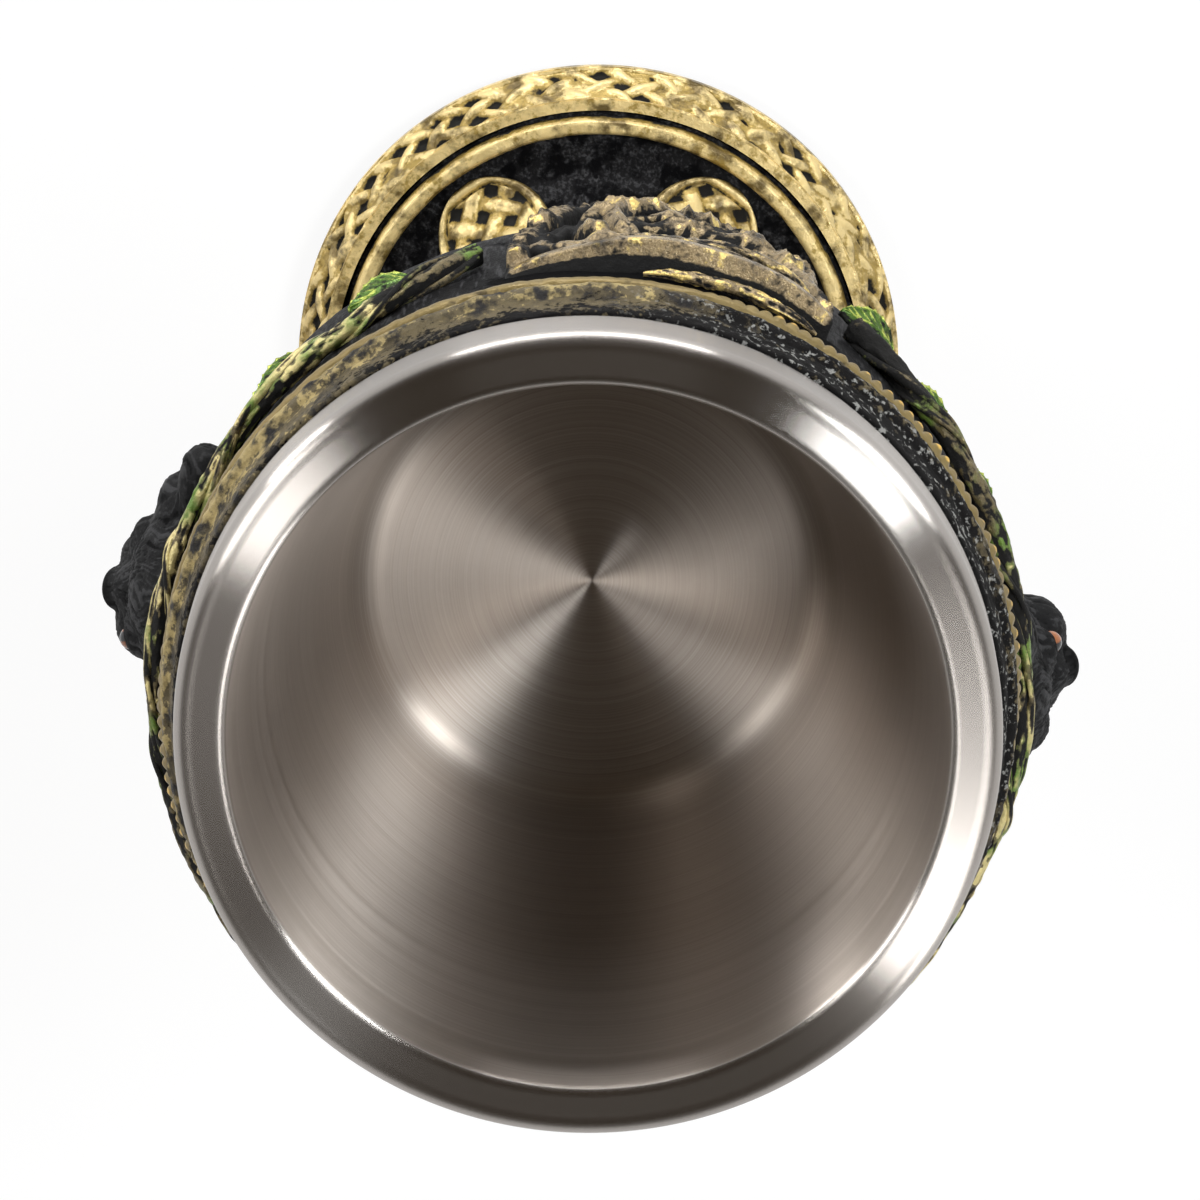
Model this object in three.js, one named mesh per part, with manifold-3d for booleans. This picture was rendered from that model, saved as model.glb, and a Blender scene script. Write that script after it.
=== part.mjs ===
// A black resin goblet with a lift-out steel liner, two bear heads, knot panels and leafy vines.
// Millimetres, +Z up. It stands on its felt pad at z = 0 and its front knot panel faces -Y.
import * as THREE from 'three';
import { mergeVertices } from 'three/addons/utils/BufferGeometryUtils.js';
import Module from 'manifold-3d';

const wasm = await Module();
wasm.setup();

// Fits and facets
const FIT_GAP = 0.3;
const ROUND_STEPS = 40;
const CURVE_STEPS = 4;
const LOOK_AHEAD = 0.01;

// Felt pad and foot
const PAD_THICKNESS = 1.5;
const PAD_MARGIN = 3.2;
const FOOT_RADIUS = 36.5;
const FOOT_HEIGHT = 43;
const FOOT_EDGE_HEIGHT = 1;
const FOOT_EDGE_INSET = 0.5;
const FOOT_TIER_HEIGHT = 6.4;
const FOOT_NECK_RADIUS = 12.2;
const KNOT_RING_WIDTH = 4.6;
const KNOT_RING_EDGE = 1.2;
const KNOT_RING_HEIGHT = 5.9;
const KNOT_RING_CREST = 1.1;
const RIDGE_RING_WIDTH = 2.2;
const RIDGE_RING_HEIGHT = 2;
const RIDGE_RING_SETBACK = 0.4;
const DISH_BLEND = 6.5;
const NECK_BLEND = 26;

// Lappets on the foot
const LAPPET_COUNT = 5;
const LAPPET_TURN = 40.5;
const LAPPET_LENGTH = 25;
const LAPPET_HALF_WIDTH = 7.3;
const LAPPET_TIP = 9;
const LAPPET_THICKNESS = 1.2;
const LAPPET_STEPS = 9;
const LAPPET_CROWDING = 1.5;
const LAPPET_TIP_HALF_WIDTH = 1.1;

// Stem
const STEM_LENGTH = 44.6;
const STEM_FOOT_RADIUS = 12;
const STEM_WAIST_RADIUS = 10.6;
const STEM_SHAFT_RADIUS = 9.2;
const SPIGOT_RADIUS = 7.5;
const SPIGOT_LENGTH = 9;
const KNOP_DROP = 29;
const KNOP_HEIGHT = 11;
const KNOP_RADIUS = 15;
const KNOP_EDGE_RADIUS = 12.4;

// Bowl casing
const CASING_NECK_RADIUS = 11.6;
const CASING_FLOOR = 27.5;
const BELLY_PROUD = 2.1;
const BELLY_DROP = 20;
const LEDGE_PROUD = 1.7;
const CAVITY_CLEARANCE = 1;
const SKIRT_CLEARANCE = 0.5;
const NECK_CHAMFER = 0.6;

// Steel liner
const LINER_WALL = 0.7;
const LINER_DEPTH = 68.8;
const MOUTH_RADIUS = 36;
const LINER_FLOOR_RADIUS = 22.1;
const LINER_HEEL = 4.4;
const LINER_WALL_DRAW = 2.5;
const LIP_EDGE_ROUND = 0.9;
const LIP_DROP = 0.5;
const LIP_SHOULDER_ROUND = 1.8;
const LIP_WIDTH = 5.4;
const SKIRT_DROP = 8.3;

// Rim band and bead ring
const BAND_HEIGHT = 6.9;
const BAND_TOP_PROUD = 0.3;
const BAND_FOOT_PROUD = 2;
const BEAD_RING_HEIGHT = 2.2;
const BEAD_RING_PROUD = 2.5;

// Knot panels, centred a little to one side of the front and the back
const PANEL_TURN = -6.6;
const PANEL_DROP = 4;
const PANEL_HALF_WIDTH = 17;
const PANEL_LENGTH = 42;
const PANEL_THICKNESS = 1.2;
const PANEL_STEPS = 8;
const PANEL_POINTEDNESS = 2.2;
const STRAND_HALF_WIDTH = 1.5;
const STRAND_HEIGHT = 1.1;
const STRAND_WEAVE = 0.5;
const STRAND_STEPS = 48;
const STRAND_ARCS = 6;
// A strand's flat top takes this share of its width, and its edge stands this share of its height
const STRAND_FLAT = 0.45;
const STRAND_EDGE = 0.4;
const KNOT_SCALE = 5;
const KNOT_DROP = 13;
const PANEL_LEDGE_PROUD = 1.4;
const PANEL_LEDGE_INSET = 0.3;

// Vines and leaves
const VINE_RADIUS = 1;
const VINE_TIP_RADIUS = 1.3;
const VINE_DROP = 3.4;
const VINE_SAG = 9;
const VINE_MARGIN = 2.5;
const VINE_STEPS = 26;
const VINE_SIDES = 6;
const LEAF_AZIMUTHS = [33, 50, 106, 120, 133, 145];
const LEAF_LENGTH = 7.6;
const LEAF_HALF_WIDTH = 2.5;
const LEAF_TILT = 20;
const LEAF_THICKNESS = 0.9;
const LEAF_FOLD = 0.9;
const LEAF_STAND = 1.6;
const LEAF_STEPS = 4;
const LEAF_POINTEDNESS = 0.8;
const LEAF_TIP_HALF_WIDTH = 0.25;

// Bear heads, each tipped to one side, nodding, and turned a little on the bowl
const HEAD_DROP = 24;
const HEAD_SINK = 4.9;
const HEAD_ROLL = 20;
const HEAD_NOD = 17;
const HEAD_YAW = 9;
const HEAD_TURN = -3;
const HEAD_DETAIL = 8;
const HEAD_HALF_WIDTH = 13;
const HEAD_SOFTNESS = 2.6;
// Each lump of a head is an ellipsoid, its centre and its half sizes given forward, left and up
// as shares of the head's half width
const HEAD_LUMPS = [
  { name: 'skull', at: [0, 0, 0], size: [0.65, 0.92, 0.81] },
  { name: 'forehead', at: [0.35, 0, 0.16], size: [0.35, 0.54, 0.38] },
  { name: 'muzzle', at: [0.58, 0, -0.28], size: [0.43, 0.47, 0.35] },
  { name: 'bridge', at: [0.65, 0, -0.04], size: [0.32, 0.2, 0.17] },
  { name: 'nose', at: [1, 0, -0.12], size: [0.09, 0.15, 0.11] },
  { name: 'jaw', at: [0.64, 0, -0.58], size: [0.31, 0.28, 0.15] },
  { name: 'left ear', at: [0.18, 0.82, 0.56], size: [0.2, 0.29, 0.29] },
  { name: 'right ear', at: [0.05, -0.84, 0.56], size: [0.2, 0.28, 0.28] },
];
// These come in pairs, left and right
const HEAD_PAIRS = [
  { name: 'brow', at: [0.62, 0.36, 0.16], size: [0.15, 0.2, 0.11] },
  { name: 'cheek', at: [0.22, 0.47, -0.32], size: [0.37, 0.32, 0.42] },
];
const HEAD_REACH = 1.6;
const HEAD_SEARCH_STEPS = 90;

const { degToRad } = THREE.MathUtils;

// Heights, each counted up from the piece below it
const footBottom = PAD_THICKNESS + FIT_GAP;
const footTop = footBottom + FOOT_HEIGHT;
const tierTop = footBottom + FOOT_TIER_HEIGHT;
const stemBottom = footTop + FIT_GAP;
const stemTop = stemBottom + STEM_LENGTH;
const casingBottom = stemTop + FIT_GAP;
const cavityFloor = casingBottom + CASING_FLOOR;
const linerFloor = cavityFloor + CAVITY_CLEARANCE + LINER_WALL;
const lipTop = linerFloor + LINER_DEPTH;
const skirtBottom = lipTop - SKIRT_DROP;
const neckTop = lipTop - LIP_DROP - LINER_WALL - FIT_GAP;
const bandTop = skirtBottom - FIT_GAP;
const bandBottom = bandTop - BAND_HEIGHT;
const beadTop = bandBottom - FIT_GAP;
const beadBottom = beadTop - BEAD_RING_HEIGHT;
const ledge = beadBottom - FIT_GAP;

// Radii that follow from a neighbour
const skirtRadius = MOUTH_RADIUS + LIP_WIDTH;
const ledgeRadius = skirtRadius + LEDGE_PROUD;
const bellyRadius = skirtRadius + BELLY_PROUD;
const neckRadius = skirtRadius - LINER_WALL - SKIRT_CLEARANCE;
const socketRadius = SPIGOT_RADIUS + FIT_GAP;
const socketDepth = SPIGOT_LENGTH + FIT_GAP;
const tierRadius = FOOT_RADIUS - KNOT_RING_WIDTH - FIT_GAP;
const ridgeOuter = tierRadius - RIDGE_RING_SETBACK;
const ridgeInner = ridgeOuter - RIDGE_RING_WIDTH;

// A point at a radius and height, at an azimuth in radians from the front (-Y) towards +X
function around(radius, azimuth, height) {
  return new THREE.Vector3(radius * Math.sin(azimuth), -radius * Math.cos(azimuth), height);
}

function point(radius, height) {
  return new THREE.Vector2(radius, height);
}

// Turns a profile of (radius, height) points, listed with the material on its left, about Z
function turned(profile) {
  const geometry = new THREE.LatheGeometry(profile, ROUND_STEPS);
  return geometry.rotateX(Math.PI / 2);
}

// A ring whose profile closes on itself
function turnedRing(profile) {
  return turned([...profile, profile[0]]);
}

// Joins rings of points into a closed solid, with faces out whichever way the rings run.
// Each ring holds the points of one side and then those of the other side in reverse.
function lofted(rings) {
  const count = rings[0].length;
  const vertices = rings.flat();
  const triangles = [];
  for (let i = 0; i + 1 < rings.length; i += 1) {
    for (let k = 0; k < count; k += 1) {
      const a = i * count + k;
      const b = i * count + ((k + 1) % count);
      triangles.push([a, b, a + count], [b, b + count, a + count]);
    }
  }
  const last = (rings.length - 1) * count;
  for (let k = 0; k + 1 < count / 2; k += 1) {
    const near = [k, k + 1, count - 2 - k, count - 1 - k];
    triangles.push([near[2], near[1], near[0]], [near[3], near[2], near[0]]);
    triangles.push([last + near[0], last + near[1], last + near[2]]);
    triangles.push([last + near[0], last + near[2], last + near[3]]);
  }
  const volume = triangles.reduce((sum, [a, b, c]) => {
    const normal = vertices[b].clone().cross(vertices[c]);
    return sum + vertices[a].dot(normal);
  }, 0);
  const faces = volume < 0 ? triangles.map(([a, b, c]) => [a, c, b]) : triangles;
  const geometry = new THREE.BufferGeometry().setFromPoints(vertices);
  geometry.setIndex(faces.flat());
  geometry.computeVertexNormals();
  return geometry;
}

// Boolean work: a closed geometry in, a solid out, and back again
function solidOf(geometry) {
  const bare = geometry.clone();
  bare.deleteAttribute('normal');
  bare.deleteAttribute('uv');
  const merged = mergeVertices(bare);
  const corners = merged.index.array;
  const triVerts = [];
  for (let i = 0; i < corners.length; i += 3) {
    const [a, b, c] = corners.slice(i, i + 3);
    if (a !== b && b !== c && c !== a) triVerts.push(a, b, c);
  }
  const vertProperties = merged.attributes.position.array;
  return new wasm.Manifold(new wasm.Mesh({
    numProp: 3,
    vertProperties: new Float32Array(vertProperties),
    triVerts: new Uint32Array(triVerts),
  }));
}

function geometryOf(solid) {
  const mesh = solid.getMesh();
  const geometry = new THREE.BufferGeometry();
  geometry.setAttribute('position', new THREE.Float32BufferAttribute(mesh.vertProperties, 3));
  geometry.setIndex(Array.from(mesh.triVerts));
  geometry.computeVertexNormals();
  return geometry;
}

// The radius of a profile at a height, between its points
function radiusAt(profile, height) {
  const upper = profile.findIndex((p) => p.y >= height);
  if (upper === -1) return profile[profile.length - 1].x;
  if (upper === 0) return profile[0].x;
  const low = profile[upper - 1];
  const high = profile[upper];
  return THREE.MathUtils.mapLinear(height, low.y, high.y, low.x, high.x);
}

// Steel liner: the drinking side, and the same form set outward by an amount
function linerBowl(outset, top) {
  const floor = linerFloor - outset;
  const heel = point(LINER_FLOOR_RADIUS + LINER_HEEL + outset, linerFloor + LINER_HEEL);
  const mouth = point(MOUTH_RADIUS + outset, top);
  const middle = point(mouth.x - LINER_WALL_DRAW, (heel.y + mouth.y) / 2);
  const path = new THREE.Path();
  path.moveTo(0, floor);
  path.lineTo(LINER_FLOOR_RADIUS, floor);
  path.quadraticCurveTo(heel.x - LINER_HEEL / 4, floor, heel.x, heel.y);
  path.quadraticCurveTo(middle.x, middle.y, mouth.x, mouth.y);
  return path;
}

function linerSide(outset) {
  const top = lipTop - outset;
  const skirt = skirtRadius - outset;
  const path = linerBowl(outset, top - LIP_EDGE_ROUND);
  path.quadraticCurveTo(MOUTH_RADIUS + outset, top, MOUTH_RADIUS + LIP_EDGE_ROUND, top);
  path.lineTo(skirtRadius - LIP_SHOULDER_ROUND, top - LIP_DROP);
  path.quadraticCurveTo(skirt, top - LIP_DROP, skirt, lipTop - LIP_DROP - LIP_SHOULDER_ROUND);
  path.lineTo(skirt, skirtBottom);
  return path.getPoints(CURVE_STEPS);
}

function steelLiner() {
  return turned([...linerSide(LINER_WALL), ...linerSide(0).reverse()]);
}

// Bowl casing: its outer wall from the neck at the stem up to the ledge under the bead ring
function casingWall() {
  const belly = ledge - BELLY_DROP;
  const path = new THREE.Path();
  path.moveTo(CASING_NECK_RADIUS, casingBottom);
  path.quadraticCurveTo(
    CASING_NECK_RADIUS, casingBottom + (cavityFloor - casingBottom) / 3,
    (CASING_NECK_RADIUS + LINER_FLOOR_RADIUS) / 2, casingBottom + (cavityFloor - casingBottom) / 2,
  );
  path.bezierCurveTo(
    LINER_FLOOR_RADIUS + LINER_HEEL, cavityFloor - (cavityFloor - casingBottom) / 3,
    bellyRadius, cavityFloor + LINER_HEEL,
    bellyRadius, belly,
  );
  path.lineTo(ledgeRadius, ledge);
  return path.getPoints(CURVE_STEPS);
}

const wall = casingWall();

function bowlCasing() {
  const cavity = linerBowl(LINER_WALL + CAVITY_CLEARANCE, neckTop).getPoints(CURVE_STEPS);
  return turned([
    point(0, casingBottom + socketDepth),
    point(socketRadius, casingBottom + socketDepth),
    point(socketRadius, casingBottom),
    ...wall,
    point(neckRadius, ledge),
    point(neckRadius, neckTop - NECK_CHAMFER),
    point(neckRadius - NECK_CHAMFER, neckTop),
    ...cavity.reverse(),
  ]);
}

// Everything inside the casing's outer wall, with the fit gap added
function wallKeepout() {
  const skin = wall.map((p) => point(p.x + FIT_GAP, p.y));
  return solidOf(turned([point(0, casingBottom), ...skin, point(0, ledge)]));
}

const keepout = wallKeepout();

// Rim band and bead ring, both sitting round the casing's neck
function rimBand() {
  const bore = neckRadius + FIT_GAP;
  const top = skirtRadius + BAND_TOP_PROUD;
  const foot = skirtRadius + BAND_FOOT_PROUD;
  return turnedRing([
    point(bore, bandBottom),
    point(foot, bandBottom),
    point(foot, bandBottom + BAND_HEIGHT / 4),
    point(top + BAND_TOP_PROUD, bandTop - BAND_HEIGHT / 8),
    point(top, bandTop),
    point(bore, bandTop),
  ]);
}

function beadRing() {
  const bore = neckRadius + FIT_GAP;
  const outer = skirtRadius + BEAD_RING_PROUD;
  const round = BEAD_RING_HEIGHT / 4;
  return turnedRing([
    point(bore, beadBottom),
    point(outer - round, beadBottom),
    point(outer, beadBottom + round),
    point(outer, beadTop - round),
    point(outer - round, beadTop),
    point(bore, beadTop),
  ]);
}

// A point on the casing's wall, raised by an amount, at an arc length from an azimuth
function onWall(azimuth, across, height, raised) {
  const radius = radiusAt(wall, height);
  const lift = radius + FIT_GAP + raised;
  return around(lift, azimuth + across / radius, height);
}

// A strand with a flat-topped section that is rooted in the plate under it
function strand(path, steps, halfWidth, height, root) {
  const rings = [];
  for (let i = 0; i <= steps; i += 1) {
    const here = path(i / steps);
    const ahead = path((i + LOOK_AHEAD) / steps);
    const side = new THREE.Vector2(ahead.height - here.height, here.across - ahead.across).normalize();
    const top = height + here.rise;
    const section = [
      [-1, -root], [-1, top * STRAND_EDGE], [-STRAND_FLAT, top],
      [STRAND_FLAT, top], [1, top * STRAND_EDGE], [1, -root],
    ];
    rings.push(section.map(([s, raised]) => {
      const reach = s * halfWidth;
      const across = here.across + side.x * reach;
      return onWall(here.azimuth, across, here.height + side.y * reach, PANEL_THICKNESS + raised);
    }));
  }
  return lofted(rings);
}

// Knot panel: a shield-shaped plate, a ledge along its top and a trefoil knot woven on it
function knotPanel(azimuth) {
  const top = ledge - PANEL_DROP;
  const rings = [];
  const sides = [-1, -0.5, 0, 0.5, 1];
  for (let i = 0; i <= PANEL_STEPS; i += 1) {
    const along = i / PANEL_STEPS;
    const halfWidth = Math.max(PANEL_HALF_WIDTH * (1 - along ** PANEL_POINTEDNESS), STRAND_HALF_WIDTH);
    const height = top - along * PANEL_LENGTH;
    const outer = sides.map((s) => onWall(azimuth, s * halfWidth, height, PANEL_THICKNESS));
    const inner = sides.map((s) => onWall(azimuth, s * halfWidth, height, -PANEL_THICKNESS));
    rings.push([...outer, ...inner.reverse()]);
  }
  let panel = solidOf(lofted(rings));
  const root = PANEL_THICKNESS / 2;
  const ledgeBar = strand((t) => ({
    azimuth,
    across: (PANEL_HALF_WIDTH - PANEL_LEDGE_INSET) * (2 * t - 1),
    height: top - STRAND_HALF_WIDTH - PANEL_LEDGE_INSET,
    rise: PANEL_LEDGE_PROUD * (1 - (2 * t - 1) ** 4),
  }), PANEL_STEPS, STRAND_HALF_WIDTH, STRAND_HEIGHT / 2, root);
  panel = panel.add(solidOf(ledgeBar));
  const knot = (t) => ({
    azimuth,
    across: KNOT_SCALE * (Math.sin(t) + 2 * Math.sin(2 * t)),
    height: top - KNOT_DROP + KNOT_SCALE * (Math.cos(t) - 2 * Math.cos(2 * t)),
    rise: -STRAND_WEAVE * Math.sin(3 * t),
  });
  const arc = (2 * Math.PI) / STRAND_ARCS;
  for (let k = 0; k < STRAND_ARCS; k += 1) {
    const piece = strand(
      (t) => knot((k + t) * arc),
      STRAND_STEPS / STRAND_ARCS, STRAND_HALF_WIDTH, STRAND_HEIGHT, root,
    );
    panel = panel.add(solidOf(piece));
  }
  return geometryOf(panel.subtract(keepout));
}

// Vine: a branch that rises from one knot panel, runs over a bear head and falls to the next panel
function vineHeight(share) {
  return ledge - VINE_DROP - VINE_SAG * (2 * share - 1) ** 4;
}

function vineStart(side) {
  const margin = (PANEL_HALF_WIDTH + VINE_MARGIN) / ledgeRadius;
  return degToRad(PANEL_TURN) + side * Math.PI + margin;
}

function vineSpan() {
  return Math.PI - (2 * (PANEL_HALF_WIDTH + VINE_MARGIN)) / ledgeRadius;
}

function vine(side) {
  const rings = [];
  for (let i = 0; i <= VINE_STEPS; i += 1) {
    const share = i / VINE_STEPS;
    const taper = (2 * share - 1) ** 2;
    const radius = THREE.MathUtils.lerp(VINE_RADIUS, VINE_TIP_RADIUS, taper);
    const azimuth = vineStart(side) + share * vineSpan();
    const height = vineHeight(share);
    const ring = [];
    for (let k = 0; k < VINE_SIDES; k += 1) {
      const turn = (2 * Math.PI * (k + 0.5)) / VINE_SIDES;
      ring.push(onWall(azimuth, 0, height + radius * Math.sin(turn), radius * (1 + Math.cos(turn))));
    }
    rings.push(ring);
  }
  return lofted(rings);
}

// Leaf: a pointed blade folded along its midrib, hanging just under its vine, its lower edge standing out
function leaf(side, azimuthDegrees) {
  const azimuth = degToRad(azimuthDegrees) + side * Math.PI;
  const share = (azimuth - vineStart(side)) / vineSpan();
  const tilt = degToRad(LEAF_TILT);
  const reach = LEAF_HALF_WIDTH * Math.cos(tilt) + (LEAF_LENGTH / 2) * Math.sin(tilt);
  const centre = vineHeight(share) - VINE_RADIUS - FIT_GAP - reach;
  const rings = [];
  for (let i = 0; i <= LEAF_STEPS; i += 1) {
    const along = i / LEAF_STEPS;
    const swell = Math.sin(Math.PI * along ** LEAF_POINTEDNESS);
    const blade = Math.max(LEAF_HALF_WIDTH * swell, LEAF_TIP_HALF_WIDTH);
    const bow = Math.sin(Math.PI * along);
    const stand = LEAF_THICKNESS + LEAF_STAND * bow;
    const rib = LEAF_THICKNESS + (LEAF_FOLD + LEAF_STAND / 2) * bow;
    const spot = (across, raised) => {
      const x = LEAF_LENGTH * (along - 0.5);
      const y = across * blade;
      const shift = x * Math.cos(tilt) - y * Math.sin(tilt);
      const height = centre + x * Math.sin(tilt) + y * Math.cos(tilt);
      return onWall(azimuth, shift, height, raised);
    };
    rings.push([
      spot(-1, stand), spot(0, rib), spot(1, LEAF_THICKNESS),
      spot(1, 0), spot(0, 0), spot(-1, 0),
    ]);
  }
  return lofted(rings);
}

// Bear head: soft lumps blended into one form, then cut to sit against the casing's wall
const headLumps = [
  ...HEAD_LUMPS,
  ...HEAD_PAIRS,
  ...HEAD_PAIRS.map(({ at: [x, y, z], size }) => ({ at: [x, -y, z], size })),
];

function headFill(spot) {
  return headLumps.reduce((sum, { at, size }) => {
    const reach = at.reduce((total, centre, i) => {
      return total + ((spot.getComponent(i) - centre) / size[i]) ** 2;
    }, 0);
    return sum + Math.exp(-HEAD_SOFTNESS * (reach - 1));
  }, 0);
}

// Walks in from outside along a direction to the head's surface, in shares of the half width
function headRadius(direction) {
  const step = HEAD_REACH / HEAD_SEARCH_STEPS;
  for (let i = HEAD_SEARCH_STEPS; i > 0; i -= 1) {
    const far = step * i;
    if (headFill(direction.clone().multiplyScalar(far)) >= 1) return far;
  }
  return step;
}

function bearHead() {
  const ball = new THREE.IcosahedronGeometry(1, HEAD_DETAIL);
  ball.deleteAttribute('normal');
  ball.deleteAttribute('uv');
  const geometry = mergeVertices(ball);
  const position = geometry.attributes.position;
  const height = ledge - HEAD_DROP;
  const spot = new THREE.Vector3();
  for (let i = 0; i < position.count; i += 1) {
    spot.fromBufferAttribute(position, i).normalize();
    spot.multiplyScalar(HEAD_HALF_WIDTH * headRadius(spot));
    position.setXYZ(i, spot.x, spot.y, spot.z);
  }
  geometry.rotateX(degToRad(HEAD_ROLL));
  geometry.rotateY(degToRad(HEAD_NOD));
  geometry.rotateZ(degToRad(HEAD_YAW));
  geometry.translate(radiusAt(wall, height) - HEAD_SINK, 0, height);
  geometry.rotateZ(degToRad(HEAD_TURN));
  return geometryOf(solidOf(geometry).subtract(keepout));
}

// Foot: base plate, tier for the two rings, dish, and the neck that takes the stem
function footDish() {
  const start = point(ridgeInner - FIT_GAP, tierTop);
  const end = point(FOOT_NECK_RADIUS, footTop);
  return new THREE.CubicBezierCurve(
    start,
    point(start.x - DISH_BLEND, start.y),
    point(end.x, end.y - NECK_BLEND),
    end,
  );
}

// Everything under the dish, with the fit gap added
function dishKeepout() {
  const dish = footDish();
  const count = 2 * CURVE_STEPS;
  const skin = dish.getPoints(count).map((p, i) => {
    const tangent = dish.getTangent(i / count);
    return point(p.x + tangent.y * FIT_GAP, p.y - tangent.x * FIT_GAP);
  });
  return solidOf(turned([point(0, footBottom), point(skin[0].x, footBottom), ...skin, point(0, footTop)]));
}

function foot() {
  const edge = FOOT_RADIUS - FOOT_EDGE_INSET;
  const seat = footBottom + FOOT_EDGE_HEIGHT;
  return turned([
    point(0, footBottom),
    point(edge, footBottom),
    point(edge, seat),
    point(tierRadius, seat),
    point(tierRadius, tierTop),
    ...footDish().getPoints(2 * CURVE_STEPS),
    point(socketRadius, footTop),
    point(socketRadius, footTop - socketDepth),
    point(0, footTop - socketDepth),
  ]);
}

function footKnotRing() {
  const bore = tierRadius + FIT_GAP;
  const bottom = footBottom + FOOT_EDGE_HEIGHT + FIT_GAP;
  return turnedRing([
    point(bore, bottom),
    point(FOOT_RADIUS, bottom),
    point(FOOT_RADIUS, bottom + KNOT_RING_EDGE),
    point(bore + KNOT_RING_CREST, bottom + KNOT_RING_HEIGHT),
    point(bore, bottom + KNOT_RING_HEIGHT),
  ]);
}

function footRidgeRing() {
  const bottom = tierTop + FIT_GAP;
  const top = bottom + RIDGE_RING_HEIGHT;
  const round = RIDGE_RING_WIDTH / 4;
  return turnedRing([
    point(ridgeInner, bottom),
    point(ridgeOuter, bottom),
    point(ridgeOuter, top - round),
    point(ridgeOuter - round, top),
    point(ridgeInner + round, top),
    point(ridgeInner, top - round),
  ]);
}

// Lappet: a tongue lying on the dish, its round tip just inside the ridge ring
function lappet(index, underside) {
  const dish = footDish();
  const azimuth = degToRad(LAPPET_TURN) + (2 * Math.PI * index) / LAPPET_COUNT;
  const tip = FIT_GAP + LAPPET_THICKNESS;
  const rings = [];
  for (let i = 0; i <= LAPPET_STEPS; i += 1) {
    const along = LAPPET_LENGTH * (i / LAPPET_STEPS) ** LAPPET_CROWDING;
    const u = (tip + along) / dish.getLength();
    const base = dish.getPointAt(u);
    const tangent = dish.getTangentAt(u);
    const rounding = Math.min(along / LAPPET_TIP, 1);
    const swell = Math.sqrt(1 - (1 - rounding) ** 2);
    const blade = Math.max(LAPPET_HALF_WIDTH * swell, LAPPET_TIP_HALF_WIDTH);
    const room = (Math.PI * base.x) / LAPPET_COUNT - FIT_GAP;
    const halfWidth = Math.min(blade, room);
    const spot = (share, raised) => {
      const radius = base.x + tangent.y * raised;
      const height = base.y - tangent.x * raised;
      return around(radius, azimuth + (share * halfWidth) / base.x, height);
    };
    const outer = FIT_GAP + LAPPET_THICKNESS;
    const shares = [-1, -0.5, 0, 0.5, 1];
    const upper = shares.map((share) => spot(share, outer));
    const lower = shares.map((share) => spot(share, -LAPPET_THICKNESS));
    rings.push([...upper, ...lower.reverse()]);
  }
  return geometryOf(solidOf(lofted(rings)).subtract(underside));
}

function feltPad() {
  const radius = FOOT_RADIUS - PAD_MARGIN;
  return turned([
    point(0, 0), point(radius, 0), point(radius, PAD_THICKNESS), point(0, PAD_THICKNESS),
  ]);
}

// Stem: a spigot in the foot, a shoulder that the knop rests on, and a spigot in the casing
function stem() {
  const shoulder = stemTop - KNOP_DROP;
  return turned([
    point(0, stemBottom - SPIGOT_LENGTH),
    point(SPIGOT_RADIUS, stemBottom - SPIGOT_LENGTH),
    point(SPIGOT_RADIUS, stemBottom),
    point(STEM_FOOT_RADIUS, stemBottom),
    point(STEM_WAIST_RADIUS, (stemBottom + shoulder) / 2),
    point(STEM_WAIST_RADIUS, shoulder),
    point(STEM_SHAFT_RADIUS, shoulder),
    point(STEM_SHAFT_RADIUS, stemTop),
    point(SPIGOT_RADIUS, stemTop),
    point(SPIGOT_RADIUS, stemTop + SPIGOT_LENGTH),
    point(0, stemTop + SPIGOT_LENGTH),
  ]);
}

function stemKnop() {
  const bore = STEM_SHAFT_RADIUS + FIT_GAP;
  const bottom = stemTop - KNOP_DROP + FIT_GAP;
  const top = bottom + KNOP_HEIGHT;
  return turnedRing([
    point(bore, bottom),
    point(KNOP_EDGE_RADIUS, bottom),
    point(KNOP_RADIUS, bottom + KNOP_HEIGHT / 3),
    point(KNOP_RADIUS, top - KNOP_HEIGHT / 3),
    point(KNOP_EDGE_RADIUS, top),
    point(bore, top),
  ]);
}

// Finishes
const STEEL = { color: 0xb5afa8, roughness: 0.3, metalness: 1 };
const BLACK = { color: 0x1b1a1a, roughness: 0.75, metalness: 0 };
const GOLD = { color: 0xb59a55, roughness: 0.45, metalness: 0.4 };
const BRONZE = { color: 0x6f5f42, roughness: 0.5, metalness: 0.4 };
const GREEN = { color: 0x6f9a2f, roughness: 0.4, metalness: 0.4 };
const FELT = { color: 0x202020, roughness: 1, metalness: 0 };

function piece(name, geometry, finish) {
  const mesh = new THREE.Mesh(geometry, new THREE.MeshStandardMaterial(finish));
  mesh.name = name;
  return mesh;
}

const goblet = new THREE.Group();
goblet.add(
  piece('felt_pad', feltPad(), FELT),
  piece('foot', foot(), BLACK),
  piece('foot_knot_ring', footKnotRing(), GOLD),
  piece('foot_ridge_ring', footRidgeRing(), GOLD),
  piece('stem', stem(), BLACK),
  piece('stem_knop', stemKnop(), GOLD),
  piece('bowl_casing', bowlCasing(), BLACK),
  piece('rim_band', rimBand(), BRONZE),
  piece('rim_bead_ring', beadRing(), GOLD),
  piece('steel_liner', steelLiner(), STEEL),
);
const underside = dishKeepout();
for (let i = 0; i < LAPPET_COUNT; i += 1) {
  goblet.add(piece(`foot_lappet_${i + 1}`, lappet(i, underside), GOLD));
}

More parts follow.
